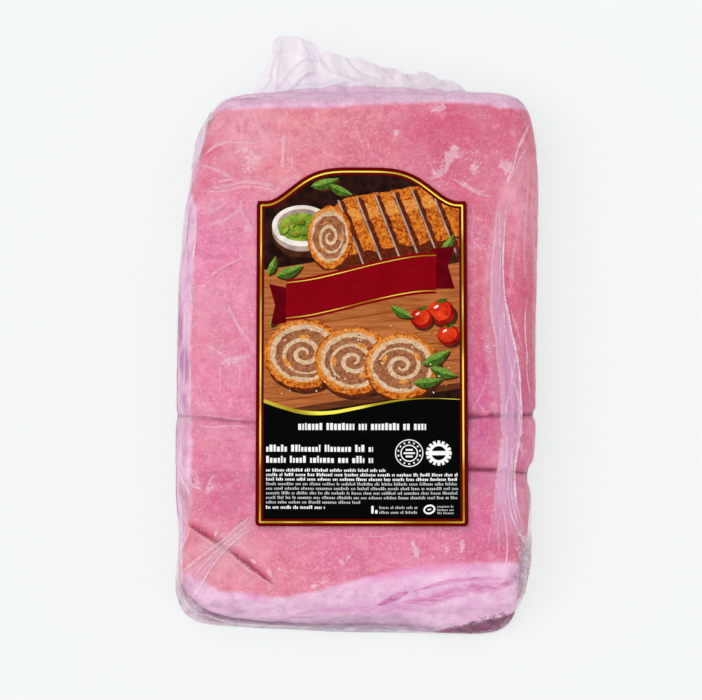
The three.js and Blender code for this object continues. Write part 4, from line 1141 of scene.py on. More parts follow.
# Each fold's line in the picture's pixels, its width in mm, its opacity, and how high it stands in mm.
FOLDS = [
    # The long pleat's outer lines and the branches at its two ends.
    ([(531, 121), (526, 131), (521, 142), (517, 151), (515.4, 160), (512.7, 170), (507, 181),
      (506, 190)], 1.3, 0.5, 0.4),
    ([(528, 145), (520, 159), (515, 171), (509, 180), (507, 190)], 1.0, 0.45, 0.3),
    ([(508, 372), (513.7, 385), (518.6, 399), (521, 415)], 0.8, 0.5, 0.3),
    ([(516, 369), (514, 387), (509.6, 399), (508, 409.5)], 0.8, 0.4, 0.3),
    ([(503, 455), (503, 473), (503, 493), (509.6, 513), (518, 529), (524.5, 547.5)], 0.9, 0.45, 0.4),
    ([(500, 480), (499.6, 496), (504.6, 516), (507, 537.5), (507, 556), (505, 566), (503, 580)], 0.8, 0.55, 0.3),
    ([(524, 199), (521, 217), (518, 232), (514, 251), (511.6, 271), (511.6, 282), (509, 300)], 1.6, 0.2, 0.3),
    ([(509.6, 307), (515, 323), (518.6, 335), (522, 350)], 1.2, 0.25, 0.3),
    ([(528, 291), (525.7, 307), (524.8, 323), (525.7, 341), (527, 357), (526.6, 369), (528.4, 387),
      (532, 405)], 0.7, 0.5, 0.3),
    ([(532, 150), (533, 180), (531, 210), (533, 240), (534, 280), (533, 330), (534, 370),
      (533, 400)], 1.6, 0.16, 0.4),
    ([(526, 150), (528, 180), (526, 215), (524, 250), (527, 290)], 1.1, 0.16, 0.3),
    ([(486, 552), (489, 540), (491, 525), (493, 505)], 0.7, 0.4, 0.3),
    ([(496, 560), (499, 548), (498, 530), (500, 515)], 0.7, 0.4, 0.3),
    # Fine lines within the pleat, crossing each other.
    ([(499, 190), (500, 230), (500, 270), (498, 310), (501, 340), (504, 370)], 0.9, 0.5, 0.6),
    ([(503.5, 300), (505, 330), (508, 352), (512, 372), (514, 392)], 0.9, 0.6, 0.6),
    ([(516, 345), (515, 362), (512, 376), (509, 392), (506, 410), (505, 425)], 0.9, 0.6, 0.6),
    ([(512, 375), (517, 392), (519, 410), (518.5, 430)], 0.9, 0.55, 0.6),
    ([(505, 425), (507, 445), (505, 470), (504, 495)], 0.9, 0.55, 0.6),
    ([(511, 440), (512, 465), (511, 485), (513, 505), (519, 530)], 0.9, 0.55, 0.6),
    ([(516, 440), (511, 462), (508, 485), (511, 512), (519, 538)], 0.9, 0.6, 0.6),
    # The pinched edge along the foot of the near face, and loose film at its two corners.
    ([(183, 599), (189, 606), (198, 613), (206, 614.5), (219, 619), (236, 623), (262, 625),
      (300, 626)], 1.0, 0.5, 0.5),
    ([(177, 600), (184, 608), (194, 617), (212, 622), (240, 625)], 1.5, 0.25, 0.5),
    ([(526, 556), (524, 575), (522, 592), (519, 606)], 1.3, 0.2, 0.5),
    ([(531, 550), (530, 566), (529, 584), (525, 602)], 0.8, 0.3, 0.5),
    # Beside the creases on the right.
    ([(505, 424), (514, 432), (520, 444), (523, 460)], 1.3, 0.35, 0.4),
    ([(524, 425), (520, 438), (512, 450), (505, 462)], 1.2, 0.35, 0.4),
    ([(470, 412), (478, 400), (484, 388), (488, 372)], 0.9, 0.3, 0.3),
    # Top left.
    ([(202, 159), (207, 153), (217, 145), (226, 142.6), (234.5, 142), (250, 142.6), (265, 142)], 1.6, 0.4, 0.4),
    ([(199, 166), (206, 166), (212, 168), (219, 171), (234.5, 179)], 1.7, 0.36, 0.3),
    ([(234.5, 179), (226, 180), (217, 182)], 1.3, 0.45, 0.3),
    ([(206, 187.5), (226, 186.5), (242, 182), (258, 182.7), (280, 187.5)], 2.0, 0.36, 0.4),
    ([(200, 192), (226, 190.5), (244, 186.5), (262, 187.5), (280, 191)], 1.5, 0.35, 0.4),
    ([(283.5, 131), (283.8, 145), (283, 158), (282.5, 172)], 2.3, 0.42, 0.3),
    ([(292, 151), (292.3, 161), (291.5, 172)], 1.1, 0.3, 0.3),
    ([(241.5, 115), (242, 128), (243, 141)], 1.6, 0.3, 0.3),
    ([(253, 108), (256, 118), (259.5, 128), (265, 137), (273, 146)], 3.0, 0.3, 0.3),
    ([(283, 107), (287, 114), (291, 124)], 0.7, 0.35, 0.2),
    ([(274, 196), (281, 184), (292, 178), (304, 175)], 1.8, 0.3, 0.3),
    ([(198, 213.5), (207, 212), (215, 210), (225, 203), (229, 198)], 1.7, 0.34, 0.3),
    ([(205, 228), (215, 223), (226, 219), (234, 214), (240, 209), (242, 198)], 1.7, 0.34, 0.3),
    ([(240, 205), (244, 216), (250, 225), (252, 238)], 2.2, 0.28, 0.3),
    ([(196.5, 212), (195.5, 224), (196, 234), (194.5, 248), (193, 262)], 1.1, 0.7, 0.5),
    ([(192, 205), (187, 222), (186.5, 245), (187, 270)], 1.0, 0.35, 0.4),
    ([(210, 279), (216, 271.5), (227, 265), (239.5, 259), (247, 252)], 1.7, 0.38, 0.4),
    ([(227, 301), (231, 312), (238, 325), (245, 335), (253, 345)], 2.0, 0.38, 0.3),
    ([(192, 288), (200, 286), (207, 285.6)], 0.7, 0.5, 0.3),
    ([(190.5, 275), (191, 290), (192, 310), (190.5, 330), (190, 350)], 1.4, 0.4, 0.5),
    ([(186, 300), (184.5, 330), (184.8, 360), (184, 395)], 1.1, 0.35, 0.5),
    ([(190, 360), (190.5, 390), (189, 415)], 0.9, 0.4, 0.4),
    ([(219, 365), (228, 360), (238, 358), (249, 356)], 1.8, 0.4, 0.3),
    ([(220, 367), (220.5, 380), (220, 396)], 0.8, 0.3, 0.2),
    ([(239.5, 362), (240, 375), (239.5, 388)], 0.8, 0.35, 0.2),
    ([(246, 358), (247, 375), (249, 392)], 0.6, 0.25, 0.2),
    ([(204, 343), (213, 348), (222, 354), (230, 359)], 1.2, 0.3, 0.2),
    ([(190, 473), (190.5, 480), (193, 485), (204, 490)], 1.4, 0.45, 0.4),
    ([(204, 495), (208, 486), (214, 473.5)], 0.9, 0.4, 0.3),
    ([(180, 470), (182, 478), (184, 483), (188, 489), (189.5, 497)], 1.2, 0.6, 0.4),
    ([(180, 430), (181, 450), (180, 468)], 1.1, 0.4, 0.4),
    ([(194, 424), (210, 427), (230, 426), (252, 427)], 1.2, 0.3, 0.3),
    ([(193, 415), (215, 416), (235, 419), (255, 418)], 0.9, 0.25, 0.3),
    # The taut film from the label's corner to the slab's near left corner.
    ([(256, 510), (246, 520), (236, 528.6), (221, 542), (202.6, 555), (184, 571), (177, 579)], 1.3, 0.42, 0.5),
    ([(258.4, 525.5), (242, 535), (228.6, 547), (213, 565), (202.6, 582), (187, 605)], 1.2, 0.56, 0.5),
    ([(257, 516), (238, 533), (219, 549), (202, 566), (188, 586)], 0.8, 0.5, 0.4),
    ([(257, 521), (240, 534), (224, 549), (208, 566), (196, 582)], 0.7, 0.4, 0.4),
    ([(250, 517), (228, 536), (208, 552), (190, 564)], 1.0, 0.35, 0.4),
    ([(180, 560), (181, 575), (180, 590), (184, 600)], 1.6, 0.25, 0.5),
    ([(192, 520), (188, 535), (182, 548), (179, 562)], 1.2, 0.4, 0.4),
    # Top right and under the label.
    ([(353, 120), (358, 133), (363, 148.5), (365.5, 165)], 0.7, 0.35, 0.3),
    ([(367, 138), (368.5, 145), (369, 151)], 0.6, 0.35, 0.2),
    ([(429, 180), (438, 176), (446, 172), (447, 160), (444, 150)], 1.4, 0.35, 0.3),
    ([(447, 174), (461, 184), (480, 194), (497, 197)], 1.2, 0.32, 0.3),
    ([(470, 203), (474, 215), (472, 232), (476, 250)], 0.9, 0.28, 0.2),
    ([(500, 158), (505, 168), (512, 175)], 1.4, 0.35, 0.3),
    ([(308, 529), (333, 533), (353, 537), (386, 536), (410, 534)], 0.6, 0.3, 0.2),
    ([(413, 541), (416, 550), (415, 558)], 1.2, 0.4, 0.2),
    ([(461, 541), (462.5, 548), (461, 554)], 1.4, 0.5, 0.2),
    ([(430, 560), (438, 552), (447, 549)], 0.7, 0.3, 0.2),
    # Along the far edge and the near corners.
    ([(204, 121), (212, 114), (222, 109.5), (236, 107)], 1.6, 0.25, 0.4),
    ([(192, 176), (193, 157), (198, 138), (203, 124)], 1.3, 0.25, 0.4),
    ([(236, 98), (252, 97), (270, 99), (300, 95)], 1.1, 0.35, 0.3),
    ([(523, 566), (521, 580), (519, 596), (514, 610)], 1.2, 0.2, 0.4),
    ([(529, 545), (530, 560), (528, 580), (524, 600)], 1.4, 0.2, 0.4),
]
PLEAT_LEFT = [
    (505, 182), (501, 184), (498.6, 197), (497.5, 208), (496, 222), (495, 238), (493, 255), (492, 271),
    (491.7, 287), (491.8, 314), (494.5, 330), (497, 344), (498, 360), (500, 378), (501.5, 396), (502, 420),
    (503, 435), (499.6, 463), (497, 479.5), (494.6, 513), (491, 546), (488, 551),
]
PLEAT_RIGHT = [
    (509, 184), (507, 199), (505.7, 215), (504.6, 228), (503.5, 244), (503, 260), (503.5, 276), (505, 298),
    (509, 317.5), (512, 333.6), (516, 350), (518, 363), (519.5, 375), (520.4, 392), (521.3, 420), (519.5, 438),
    (515.4, 463), (514.5, 479.5), (516, 499), (519.5, 516), (526, 534), (528, 546),
]
# The pleat is clearer and pinker at its far part: (place along it, value).
PLEAT_OPACITY = [(0, 0.42), (0.15, 0.5), (0.38, 0.74), (1, 0.78)]
PLEAT_BRIGHT = [(0, 0.24), (0.15, 0.22), (0.4, 0.12), (0.55, 0.06), (1, 0.02)]
# The taut film between the label's corner and the slab's near left corner.
WEDGE_LEFT = [
    (256, 509), (246, 519), (236, 528), (224, 539), (212, 550), (203, 558), (187, 568), (178, 576),
]
WEDGE_RIGHT = [
    (259, 526), (249, 531.5), (239, 538.4), (229, 548.5), (222, 558), (215, 568), (203, 582), (192, 597),
]
FOLD_STEP, FOLD_POINTS = 2.2, 5  # pixels between a fold's cross sections, and points in each
FOLD_CLEARANCE, FOLD_END_SHARE = 0.06, 0.14  # how high its edges lie, and the share of it that fades at each end
FOLD_KNOT_STEP, FOLD_UNEVENNESS = 3, (0.55, 1.3)  # at each third cross section its width varies by these shares
FOLD_TAPER, FOLD_TIP = 6, 0.25  # it tapers over a sixth of its length at each end, to this share of its width
THIN_FOLD, THIN_STROKE, BROAD_STROKE = 1.25, (1, 1.0), (1.45, 0.5)  # limit; how much broader and how bright
BROAD_FOLD_POINTS = 11
PLEAT_EDGES = [(PLEAT_LEFT, 1.5, 0.4, 0.3), (PLEAT_RIGHT, 1.1, 0.75, 0.4)]  # as the folds above
# The pleat and the wedge: sides, cross sections, opacity, height in mm, brightness.
BROAD_FOLDS = [
    ((PLEAT_LEFT, PLEAT_RIGHT), 130, PLEAT_OPACITY, 0.35, PLEAT_BRIGHT),
    ((WEDGE_LEFT, WEDGE_RIGHT), 60, [(0, 0.44)], 0.2, [(0, 0.3)]),
]


class Strips:
    """Strips of film draped over a surface, all in one mesh."""

    def __init__(self, surface_points, surface_faces):
        self.tree = BVHTree.FromPolygons([Vector(p) for p in surface_points.tolist()],
                                         [list(map(int, face)) for face in surface_faces])
        self.points, self.faces = [], []
        self.edge, self.opacity, self.bright = [], [], []

    def drape(self, pixel, rise):
        """The surface point that the picture shows at a pixel, lifted off the surface."""
        start = Vector(EYE)
        hit, normal, _, _ = self.tree.ray_cast(start, Vector(pixel_ray(*pixel)))
        if hit is None:
            x, y = on_plane([pixel], FACE_LEVEL)[0]
            hit, normal, _, _ = self.tree.find_nearest(Vector((x, y, FACE_LEVEL)))
        if normal.dot(hit - start) > 0:
            normal = -normal
        return hit + normal * rise

    def between(self, first, second, opacity, height, bright, across):
        """A strip between two lines of pixels that have as many points each."""
        shares = np.linspace(0, 1, across)
        base = len(self.points)
        count = len(first)
        opacity, bright = np.broadcast_to(opacity, count), np.broadcast_to(bright, count)
        for k, (a, b) in enumerate(zip(first, second)):
            fade = min(1.0, min(k, count - 1 - k) / max(1.0, FOLD_END_SHARE * count))
            for share in shares:
                pixel = (lerp(a[0], b[0], share), lerp(a[1], b[1], share))
                arch = 1 - (2 * share - 1) ** 2
                self.points.append(self.drape(pixel, FOLD_CLEARANCE + height * arch * fade))
                self.edge.append(2 * share - 1)
                self.opacity.append(opacity[k] * fade)
                self.bright.append(bright[k])
        for k in range(count - 1):
            for i in range(across - 1):
                a = base + k * across + i
                self.faces.append((a, a + 1, a + across + 1, a + across))

    def along(self, line, width_mm, opacity, height, rng):
        """A strip of the given width along a line of pixels, uneven in width."""
        centre = spread(line, FOLD_STEP)
        run = np.gradient(centre, axis=0)
        run /= np.linalg.norm(run, axis=1)[:, None]
        beside = np.stack([run[:, 1], -run[:, 0]], 1)
        knots = np.arange(0, len(centre) + 2 * FOLD_KNOT_STEP, FOLD_KNOT_STEP)
        wobble = np.interp(np.arange(len(centre)), knots, rng.uniform(*FOLD_UNEVENNESS, len(knots)))
        share = np.linspace(0, 1, len(centre))
        taper = np.clip(np.minimum(share, 1 - share) * FOLD_TAPER, FOLD_TIP, 1)
        broader, bright = THIN_STROKE if width_mm < THIN_FOLD else BROAD_STROKE
        half = (width_mm / 2 / PIXEL_MM * wobble * taper)[:, None] * broader
        self.between(centre - beside * half, centre + beside * half, opacity, height, bright, FOLD_POINTS)


def fold_material():
    n = Nodes("film_folds")
    edge = abs(n.attribute("edge"))
    bright = n.attribute("bright")
    pleat = n.step(bright, 0.3, 0.1)
    # Pale rims along the edges of the brighter folds: painted highlights.
    rim = n.step(edge, 0.55, 0.85) * n.step(edge, 1.0, 0.9)
    rim = rim * n.step(bright, 0.5, 0.9, 0.1, 0.45)
    body = n.mix(pleat, n.step(edge, 1.0, 0.45), n.step(edge, 1.0, 0.9, 0, 0.84))
    broad = n.step(bright, 0.35, 0.5) * n.step(bright, 0.75, 0.55)
    ragged = n.step(n.noise(2.4, 4, 0.7, 0.8), 0.3, 0.62, 0.45, 1.1) * n.step(broad, 0, 1, 1.0, 1.55)
    lengthwise = n.step(n.noise(2.2, 3, 0.55, 0.3, n.stretched(1, 0.07, 0.3)), 0.3, 0.7, 0.72, 1.12)
    strength = n.attribute("opacity") * n.mix(pleat, ragged, lengthwise)
    alpha = ((body + rim) * strength).clamped()
    # The thin folds are whiter: partly the doubled film, partly painted highlights.
    colour = n.layered(n.two_tone(bright, 0.1, 0.4, (238, 184, 223), (248, 196, 214)),
                       (n.step(bright, 0.6, 0.9), (255, 228, 242)))
    return n.surface(Base_Color=colour, Roughness=n.step(n.noise(3, 2), 0.3, 0.7, 0.24, 0.4), Alpha=alpha,
                     IOR=FILM_IOR, Normal=n.bump(n.noise(1.6, 3, 0.6), 0.3, 0.5))


def folds_piece():
    strips = Strips(film_points, slab_faces)
    rng = np.random.default_rng(8)
    for lines, count, opacity, height, bright in BROAD_FOLDS:
        rows = np.linspace(0, 1, count)
        opacity, bright = along(opacity, rows), along(bright, rows)
        sides = []
        for line in lines:
            curve = spread(line, 1.0)
            sides.append(resampled(curve, np.linspace(0, 1, len(curve)), rows))
        strips.between(*sides, opacity, height, bright, BROAD_FOLD_POINTS)
    for line, width, opacity, height in PLEAT_EDGES + FOLDS:
        strips.along(line, width, opacity, height, rng)
    return make_piece("film_folds", np.array(strips.points), strips.faces, [fold_material()],
                      {"edge": strips.edge, "opacity": strips.opacity, "bright": strips.bright})


folds = folds_piece()
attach(folds, "root")
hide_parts("sealed_slab")

# ---- The gathered end of the bag ------------------------------------------------------------------

TAIL_COLUMNS, TAIL_ROWS = 320, 84
TAIL_OVERLAP = 12  # it starts this far inside the slab's far end
TAIL_GATHER, TAIL_GATHER_X = 0.22, -35  # how much narrower its root is, on the left of this X
TAIL_ROOT_Z, TAIL_EDGE_Z = 30, 23
TAIL_FOLD_LENGTH, TAIL_FOLD_HEIGHT, TAIL_FOLD_START = 15.5, 1.9, 0.25  # the last: the folds' share at the root
TAIL_RIPPLE, TAIL_RIPPLE_SLANT, TAIL_RIPPLE_SHARE = 1.9, 3, 0.5
# Lines of the tail's folds in the picture, with the height of each fold's edge in mm.
TAIL_CREASES = [
    ([(281, 42), (278.5, 58), (277.5, 76), (275, 96)], 1.0), ([(268, 78), (274, 62), (277, 48)], 0.7),
    ([(276, 94), (287, 76), (299, 62), (312, 57), (324, 58)], -1.1), ([(289, 93), (303, 78), (318, 70)], 1.2),
    ([(318, 46), (322, 60), (332, 72), (352, 79), (366, 82)], 1.0), ([(300, 40), (307, 50), (318, 56)], 0.8),
    ([(346, 48), (350, 60), (362, 72), (380, 78)], -0.8), ([(380, 58), (384, 70), (396, 80)], 0.8),
    ([(404, 66), (408, 76), (418, 84)], -0.7), ([(426, 68), (428, 78), (434, 88)], 0.6),
    ([(330, 88), (352, 80)], 0.8), ([(284, 88), (310, 84), (340, 80)], -0.7),
    ([(260, 92), (268, 84), (272, 74)], 0.7),
]
TAIL_CREASE_HEIGHT = 1.7
TAIL_CREASE_REACH, TAIL_CREASE_SLOPE = 0.8, 5  # how soon a crease falls off on its steep and on its slow side
# The dark lines at the tail's creases and root are painted shade.
TAIL_CREASE_SHADE_WIDTH, TAIL_ROOT_SHADE, TAIL_ROOT_EDGE = 0.65, (1.2, 0.5), (-0.6, 0.4)  # dark lines at creases and root
TAIL_LEVEL = 27.0  # height at which pixels are placed on the tail
# Where the gathered film leaves the slab, in the picture: below this line it is pinker.
TAIL_ROOT = [
    (236, 97), (258, 94.6), (267, 94.4), (279, 92.6), (300, 90), (328, 86.8), (342, 86), (380, 86.5), (420, 88),
    (462, 90),
]


def tail_points():
    """Points of the gathered end, where the painted shade along its creases and root lies, and where its root lies.
    """
    edge_x = np.linspace(TAIL_EDGE[0][0], TAIL_EDGE[-1][0], TAIL_COLUMNS + 1)[None, :]
    share = np.linspace(0, 1, TAIL_ROWS + 1)[:, None]
    gather = TAIL_GATHER * (TAIL_GATHER_X - edge_x) * (1 - share)
    x = edge_x - gather * np.where(edge_x < TAIL_GATHER_X, 1, 0.25)
    ragged = along(TAIL_EDGE, edge_x[0])[None, :]
    ragged = ragged + lumpy(level(edge_x[0], 0 * edge_x[0]), (0.8, 3.4, 31), (0.35, 1.3, 32))[None, :]
    y = HALF_LENGTH + lerp(-TAIL_OVERLAP, ragged, share)
    ripple = np.sin(edge_x / TAIL_RIPPLE + TAIL_RIPPLE_SLANT * share)
    fold = np.sin(2 * np.pi * edge_x / TAIL_FOLD_LENGTH) + TAIL_RIPPLE_SHARE * ripple
    z = lerp(TAIL_ROOT_Z, TAIL_EDGE_Z, share) + TAIL_FOLD_HEIGHT * lerp(TAIL_FOLD_START, 1, share) * fold
    points = np.stack([x + 0 * share, y + 0 * edge_x, z], -1).reshape(-1, 3)
    crinkle = lumpy(points, (0.9, 8, 33), (0.14, 2.6, 34), (0.04, 1.0, 35))
    points[:, 2] += crinkle * np.repeat(0.4 + 0.9 * share[:, 0], TAIL_COLUMNS + 1)
    points[:, 0] += 0.3 * lumps(points, 3, 36)
    crease_shade = np.zeros(len(points))
    for pixels, height in TAIL_CREASES:
        line = spread(on_plane(pixels, TAIL_LEVEL), 1.0)
        signed, place = line_field(points[:, 0], points[:, 1], line)
        fade = within(place, 0.15)
        # Steep on one side of the line, and sloping off slowly on the other.
        slope = np.where(signed > 0, np.exp(-signed / TAIL_CREASE_SLOPE), np.exp(signed / TAIL_CREASE_REACH))
        points[:, 2] += TAIL_CREASE_HEIGHT * height * slope * fade
        crease_shade = np.maximum(crease_shade, bell(signed, TAIL_CREASE_SHADE_WIDTH) * fade * abs(height))
    root = on_plane(TAIL_ROOT, TAIL_LEVEL)
    past_root = points[:, 1] - np.interp(points[:, 0], root[:, 0], root[:, 1])
    crease_shade = np.maximum(crease_shade, TAIL_ROOT_SHADE[0] * bell(past_root, TAIL_ROOT_SHADE[1]))
    return points, {"crease_shade": crease_shade, "root": 1 - smoothstep(past_root, *TAIL_ROOT_EDGE)}


def tail_material():
    n = Nodes("gathered_film")
    lines = n.noise(3.0, 3, 0.5, 0.6, vector=n.stretched(1.0, 0.3, 1.0))
    root = n.attribute("root")
    alpha = (n.step(lines, 0.3, 0.72, 0.55, 0.8) + root * 0.3).clamped()
    right = n.step(n.add("ShaderNodeSeparateXYZ", "X", Vector=n.mm()) + lines * 16, -4, 22)
    light = n.mix(right, (248, 236, 247), (238, 220, 233))
    dark = n.mix(right, (238, 222, 238), (224, 202, 219))
    colour = n.layered(
        n.mix(n.step(n.noise(9, 3, 0.5, 0.6), 0.35, 0.65), light, dark),
        (root * 0.85, (230, 190, 218)),
        # Painted shade along the creases and the root.
        (n.attribute("crease_shade") * 0.34, (188, 140, 178)))
    return n.surface(Base_Color=colour, Roughness=n.step(lines, 0.3, 0.7, 0.2, 0.4), Alpha=alpha, IOR=FILM_IOR,
                     Normal=n.bump(lines + n.noise(1.2, 3) * 0.15, 0.3, 0.4))


_, tail_quads = grid_quads(TAIL_COLUMNS + 1, TAIL_ROWS + 1)
tail_spots, tail_values = tail_points()
tail = make_piece("bag_end", tail_spots, tail_quads, [tail_material()], tail_values)
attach(tail, "root")
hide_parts("sealed_slab")

# ---- The label ------------------------------------------------------------------------------------

HALF_LABEL = LABEL_WIDTH / 2


def label_outline(inset):
    """The label's outline, or the same one drawn further in."""
    half = HALF_LABEL - inset
    across_x = np.linspace(-HALF_LABEL, HALF_LABEL, 161)
    edge = label_far_edge(across_x)
    slope = np.gradient(edge, across_x)
    norm = np.hypot(1, slope)
    far = np.stack([across_x + inset * slope / norm, edge - inset / norm], 1)
    far = far[np.abs(far[:, 0]) < half - 0.3]
    order = np.argsort(far[:, 0])
    far = far[order][::-1]
    corner = max(LABEL_CORNER - inset, 0.6)
    turns = np.linspace(0, np.pi / 2, 6)
    near_y = LABEL_NEAR_Y + inset
    near_left = np.stack([-half + corner * (1 - np.cos(turns)), near_y + corner * (1 - np.sin(turns))], 1)
    near_right = near_left[::-1] * (-1, 1)
    far_y = far[0, 1]
    far_right = np.array([(half, far_y - corner), (half - 0.25 * corner, far_y - 0.25 * corner)])
    far_left = far_right[::-1] * (-1, 1)
    return np.vstack([near_left, near_right, far_right, far, far_left])


def placed(x, y, cx, cy, turn):
    """Points turned about the origin and moved to (cx, cy)."""
    return np.stack([cx + x * math.cos(turn) - y * math.sin(turn), cy + x * math.sin(turn) + y * math.cos(turn)], 1)


def ellipse(cx, cy, rx, ry, turn=0.0, count=40):
    t = np.linspace(0, 2 * np.pi, count, endpoint=False)
    return placed(rx * np.cos(t), ry * np.sin(t), cx, cy, turn)


def block(cx, cy, wide, tall, turn=0.0, corner=0.0):
    """A rectangle, with its corners rounded where corner is given."""
    spots = []
    for sx, sy, start in ((1, 1, 0), (-1, 1, 90), (-1, -1, 180), (1, -1, 270)):
        for t in np.radians(np.linspace(start, start + 90, 5 if corner else 1)):
            spots.append((sx * (wide / 2 - corner) + corner * math.cos(t),
                          sy * (tall / 2 - corner) + corner * math.sin(t)))
    return placed(*np.array(spots).T, cx, cy, turn)


def rough(outline, amount, size, seed):
    """A closed outline made uneven, in lumps of the given size."""
    closed = spread(np.vstack([outline, outline[:1]]), 0.9)[:-1]
    run = np.roll(closed, -1, axis=0) - np.roll(closed, 1, axis=0)
    beside = np.stack([run[:, 1], -run[:, 0]], 1) / np.hypot(*run.T)[:, None]
    return closed + beside * (amount * lumps(level(*closed.T), size, seed))[:, None]


def leaf(cx, cy, long, wide, turn):
    """A bent pointed leaf, and the half of it on one side of its vein."""
    t = np.linspace(-1, 1, 15)
    half = wide * (1 - t * t) * (1 - 0.3 * t)
    vein = 0.12 * long * t * t
    upper = placed(long * t, vein + half, cx, cy, turn)
    lower = placed(long * t, vein - half, cx, cy, turn)
    middle = placed(long * t, vein, cx, cy, turn)
    return np.vstack([lower, upper[-2:0:-1]]), np.vstack([middle, upper[-2:0:-1]])


def curl(cx, cy, radius, tall_share, turns, width, start):
    """A band curled up round a middle."""
    share = np.linspace(0, 1, 60)
    sweep = start + 2 * np.pi * turns * share
    outer = radius * (0.16 + 0.84 * share)
    inner = outer - width * np.sin(np.pi * np.clip(share, 0.04, 0.96)) ** 0.5
    rings = [np.stack([cx + r * np.cos(sweep), cy + tall_share * r * np.sin(sweep)], 1) for r in (outer, inner)]
    return np.vstack([rings[0], rings[1][::-1]])


# The print's colours: texture, where along it the two colours begin and end to mix, and the two.
PRINT_COLOURS = {
    "border": ("soft", 0.3, 0.7, (101, 0, 5), (107, 0, 8)),
    "gold": ("wide", 0.38, 0.62, (158, 134, 12), (248, 238, 86)),
    "dark_field": ("soft", 0.3, 0.75, (26, 12, 11), (56, 27, 21)),
    "board": ("planks", 0.25, 0.75, (148, 76, 34), (196, 118, 64)),
    "board_edge": ("planks", 0.3, 0.7, (74, 36, 20), (112, 60, 32)),
    "board_line": ("planks", 0.3, 0.7, (128, 62, 28), (160, 86, 42)),
    "shadow": ("soft", 0.3, 0.7, (52, 24, 14), (84, 42, 24)),
    "cream": ("soft", 0.3, 0.7, (222, 210, 198), (246, 240, 232)),
    "cream_shade": ("soft", 0.3, 0.7, (146, 126, 114), (188, 168, 154)),
    "crust": ("grain", 0.34, 0.66, (140, 44, 8), (240, 140, 44)),
    "crust_light": ("grain", 0.3, 0.7, (194, 94, 30), (240, 170, 84)),
    "char": ("grain", 0.3, 0.7, (58, 18, 10), (120, 48, 22)),
    "fat_band": ("grain", 0.3, 0.7, (192, 150, 110), (232, 206, 174)),
    "roast_band": ("grain", 0.3, 0.7, (120, 62, 36), (186, 124, 84)),
    "olive": ("soft", 0.3, 0.7, (84, 112, 16), (158, 184, 60)),
    "leaf": ("grain", 0.35, 0.65, (36, 68, 18), (78, 114, 36)),
    "leaf_light": ("grain", 0.35, 0.65, (84, 124, 40), (134, 168, 70)),
    "red": ("soft", 0.3, 0.7, (188, 26, 10), (236, 72, 34)),
    "red_dark": ("soft", 0.3, 0.7, (120, 8, 6), (166, 22, 12)),
    "ribbon": ("soft", 0.3, 0.7, (130, 1, 15), (138, 3, 18)),
    "ribbon_shade": ("soft", 0.3, 0.7, (84, 0, 10), (106, 1, 14)),
    "black_panel": ("soft", 0.3, 0.7, (2, 4, 4), (5, 7, 7)),
    "white_print": ("soft", 0.3, 0.7, (238, 240, 239), (250, 250, 249)),
    "grey_print": ("soft", 0.3, 0.7, (180, 184, 184), (198, 201, 200)),
}
PRINT = list(PRINT_COLOURS)
# Each texture's lump size in mm, detail, roughness, distortion and stretch.
PRINT_TEXTURES = {"soft": (5, 3, 0.6, 0, None), "wide": (26, 1, 0.4, 0, None), "grain": (1.6, 4, 0.7, 0.8, None),
                  "planks": (2.4, 4, 0.6, 0.5, (0.12, 1.6, 1))}

# Places on the label, in the picture's pixels.
SWOOSH = [
    (255, 396), (264, 399), (280, 404.5), (298, 409.5), (316, 411.3), (334, 410.5), (352, 407.5), (375, 403.3),
    (398, 399.8), (420, 398.2), (440, 398.2), (470, 399.6),
]
SWOOSH_MM = (1.7, 1.9, 1.4, 0.45, 0.15)  # its width, from left to right
RIBBON_FAR = [(286, 279.5), (310, 276.5), (340, 270), (370, 262.5), (400, 256), (420, 253), (436.3, 252.3)]
RIBBON_DROP = 41.5  # pixels from the ribbon's far edge to its near one
RIBBON_ENDS = [
    [(269, 283.5), (286.3, 287.5), (286.3, 322.5), (270.5, 325), (275, 305)],
    [(432, 248.5), (454.6, 245.8), (448, 266), (454.8, 288.8), (436, 288.5)],
]
SEALS = [((409.2, 453), 14.0), ((438.8, 453), 13.0)]
# The same in mm on the label: a mark's middle, and middles and sizes of blocks.
OVAL_MARK = (31.2, -79.0)
BLOCK_MARKS = [(4.9, -79.1, 1.1, 3.7), (6.7, -80.1, 1.2, 1.7)]


def on_label(pixels):
    return on_plane(pixels, SKIN_LEVEL + 1.2) - (LABEL_CENTRE_X, 0)


BOARD_TILT = math.radians(9)
# On the label: the small fruit in the dish, the slices' middles and radii, the round fruit and the leaves.
DISH_FRUIT = [
    (-34, 58, 0.3), (-29.5, 60, -0.4), (-24, 59.3, 0.6), (-21, 56.6, -0.2), (-26.5, 55, 0.1), (-32, 54.4, -0.5),
    (-36.5, 55.8, 0.9),
]
SLICES = [(-27, -4.5, 18.5), (-4, -8, 18), (18.5, -10.5, 17.4)]
ROUND_FRUIT = [(37, 15.5, 6.4), (27.8, 12.5, 5.2), (40.5, 4.4, 5.2)]
LEAVES = [
    (-17, 78, 7, 0.3), (-10, 74.5, 6, -0.4), (-40, 13, 5, 1.1), (35, -7, 7.5, 0.5), (38, -14, 7, -0.3),
    (31, -18.5, 7, 0.15), (18.5, 15, 6, -0.5), (-33.5, 35, 7, 0.4), (-41.5, 38, 5, 1.2), (40.5, 48, 6, 1.0),
]


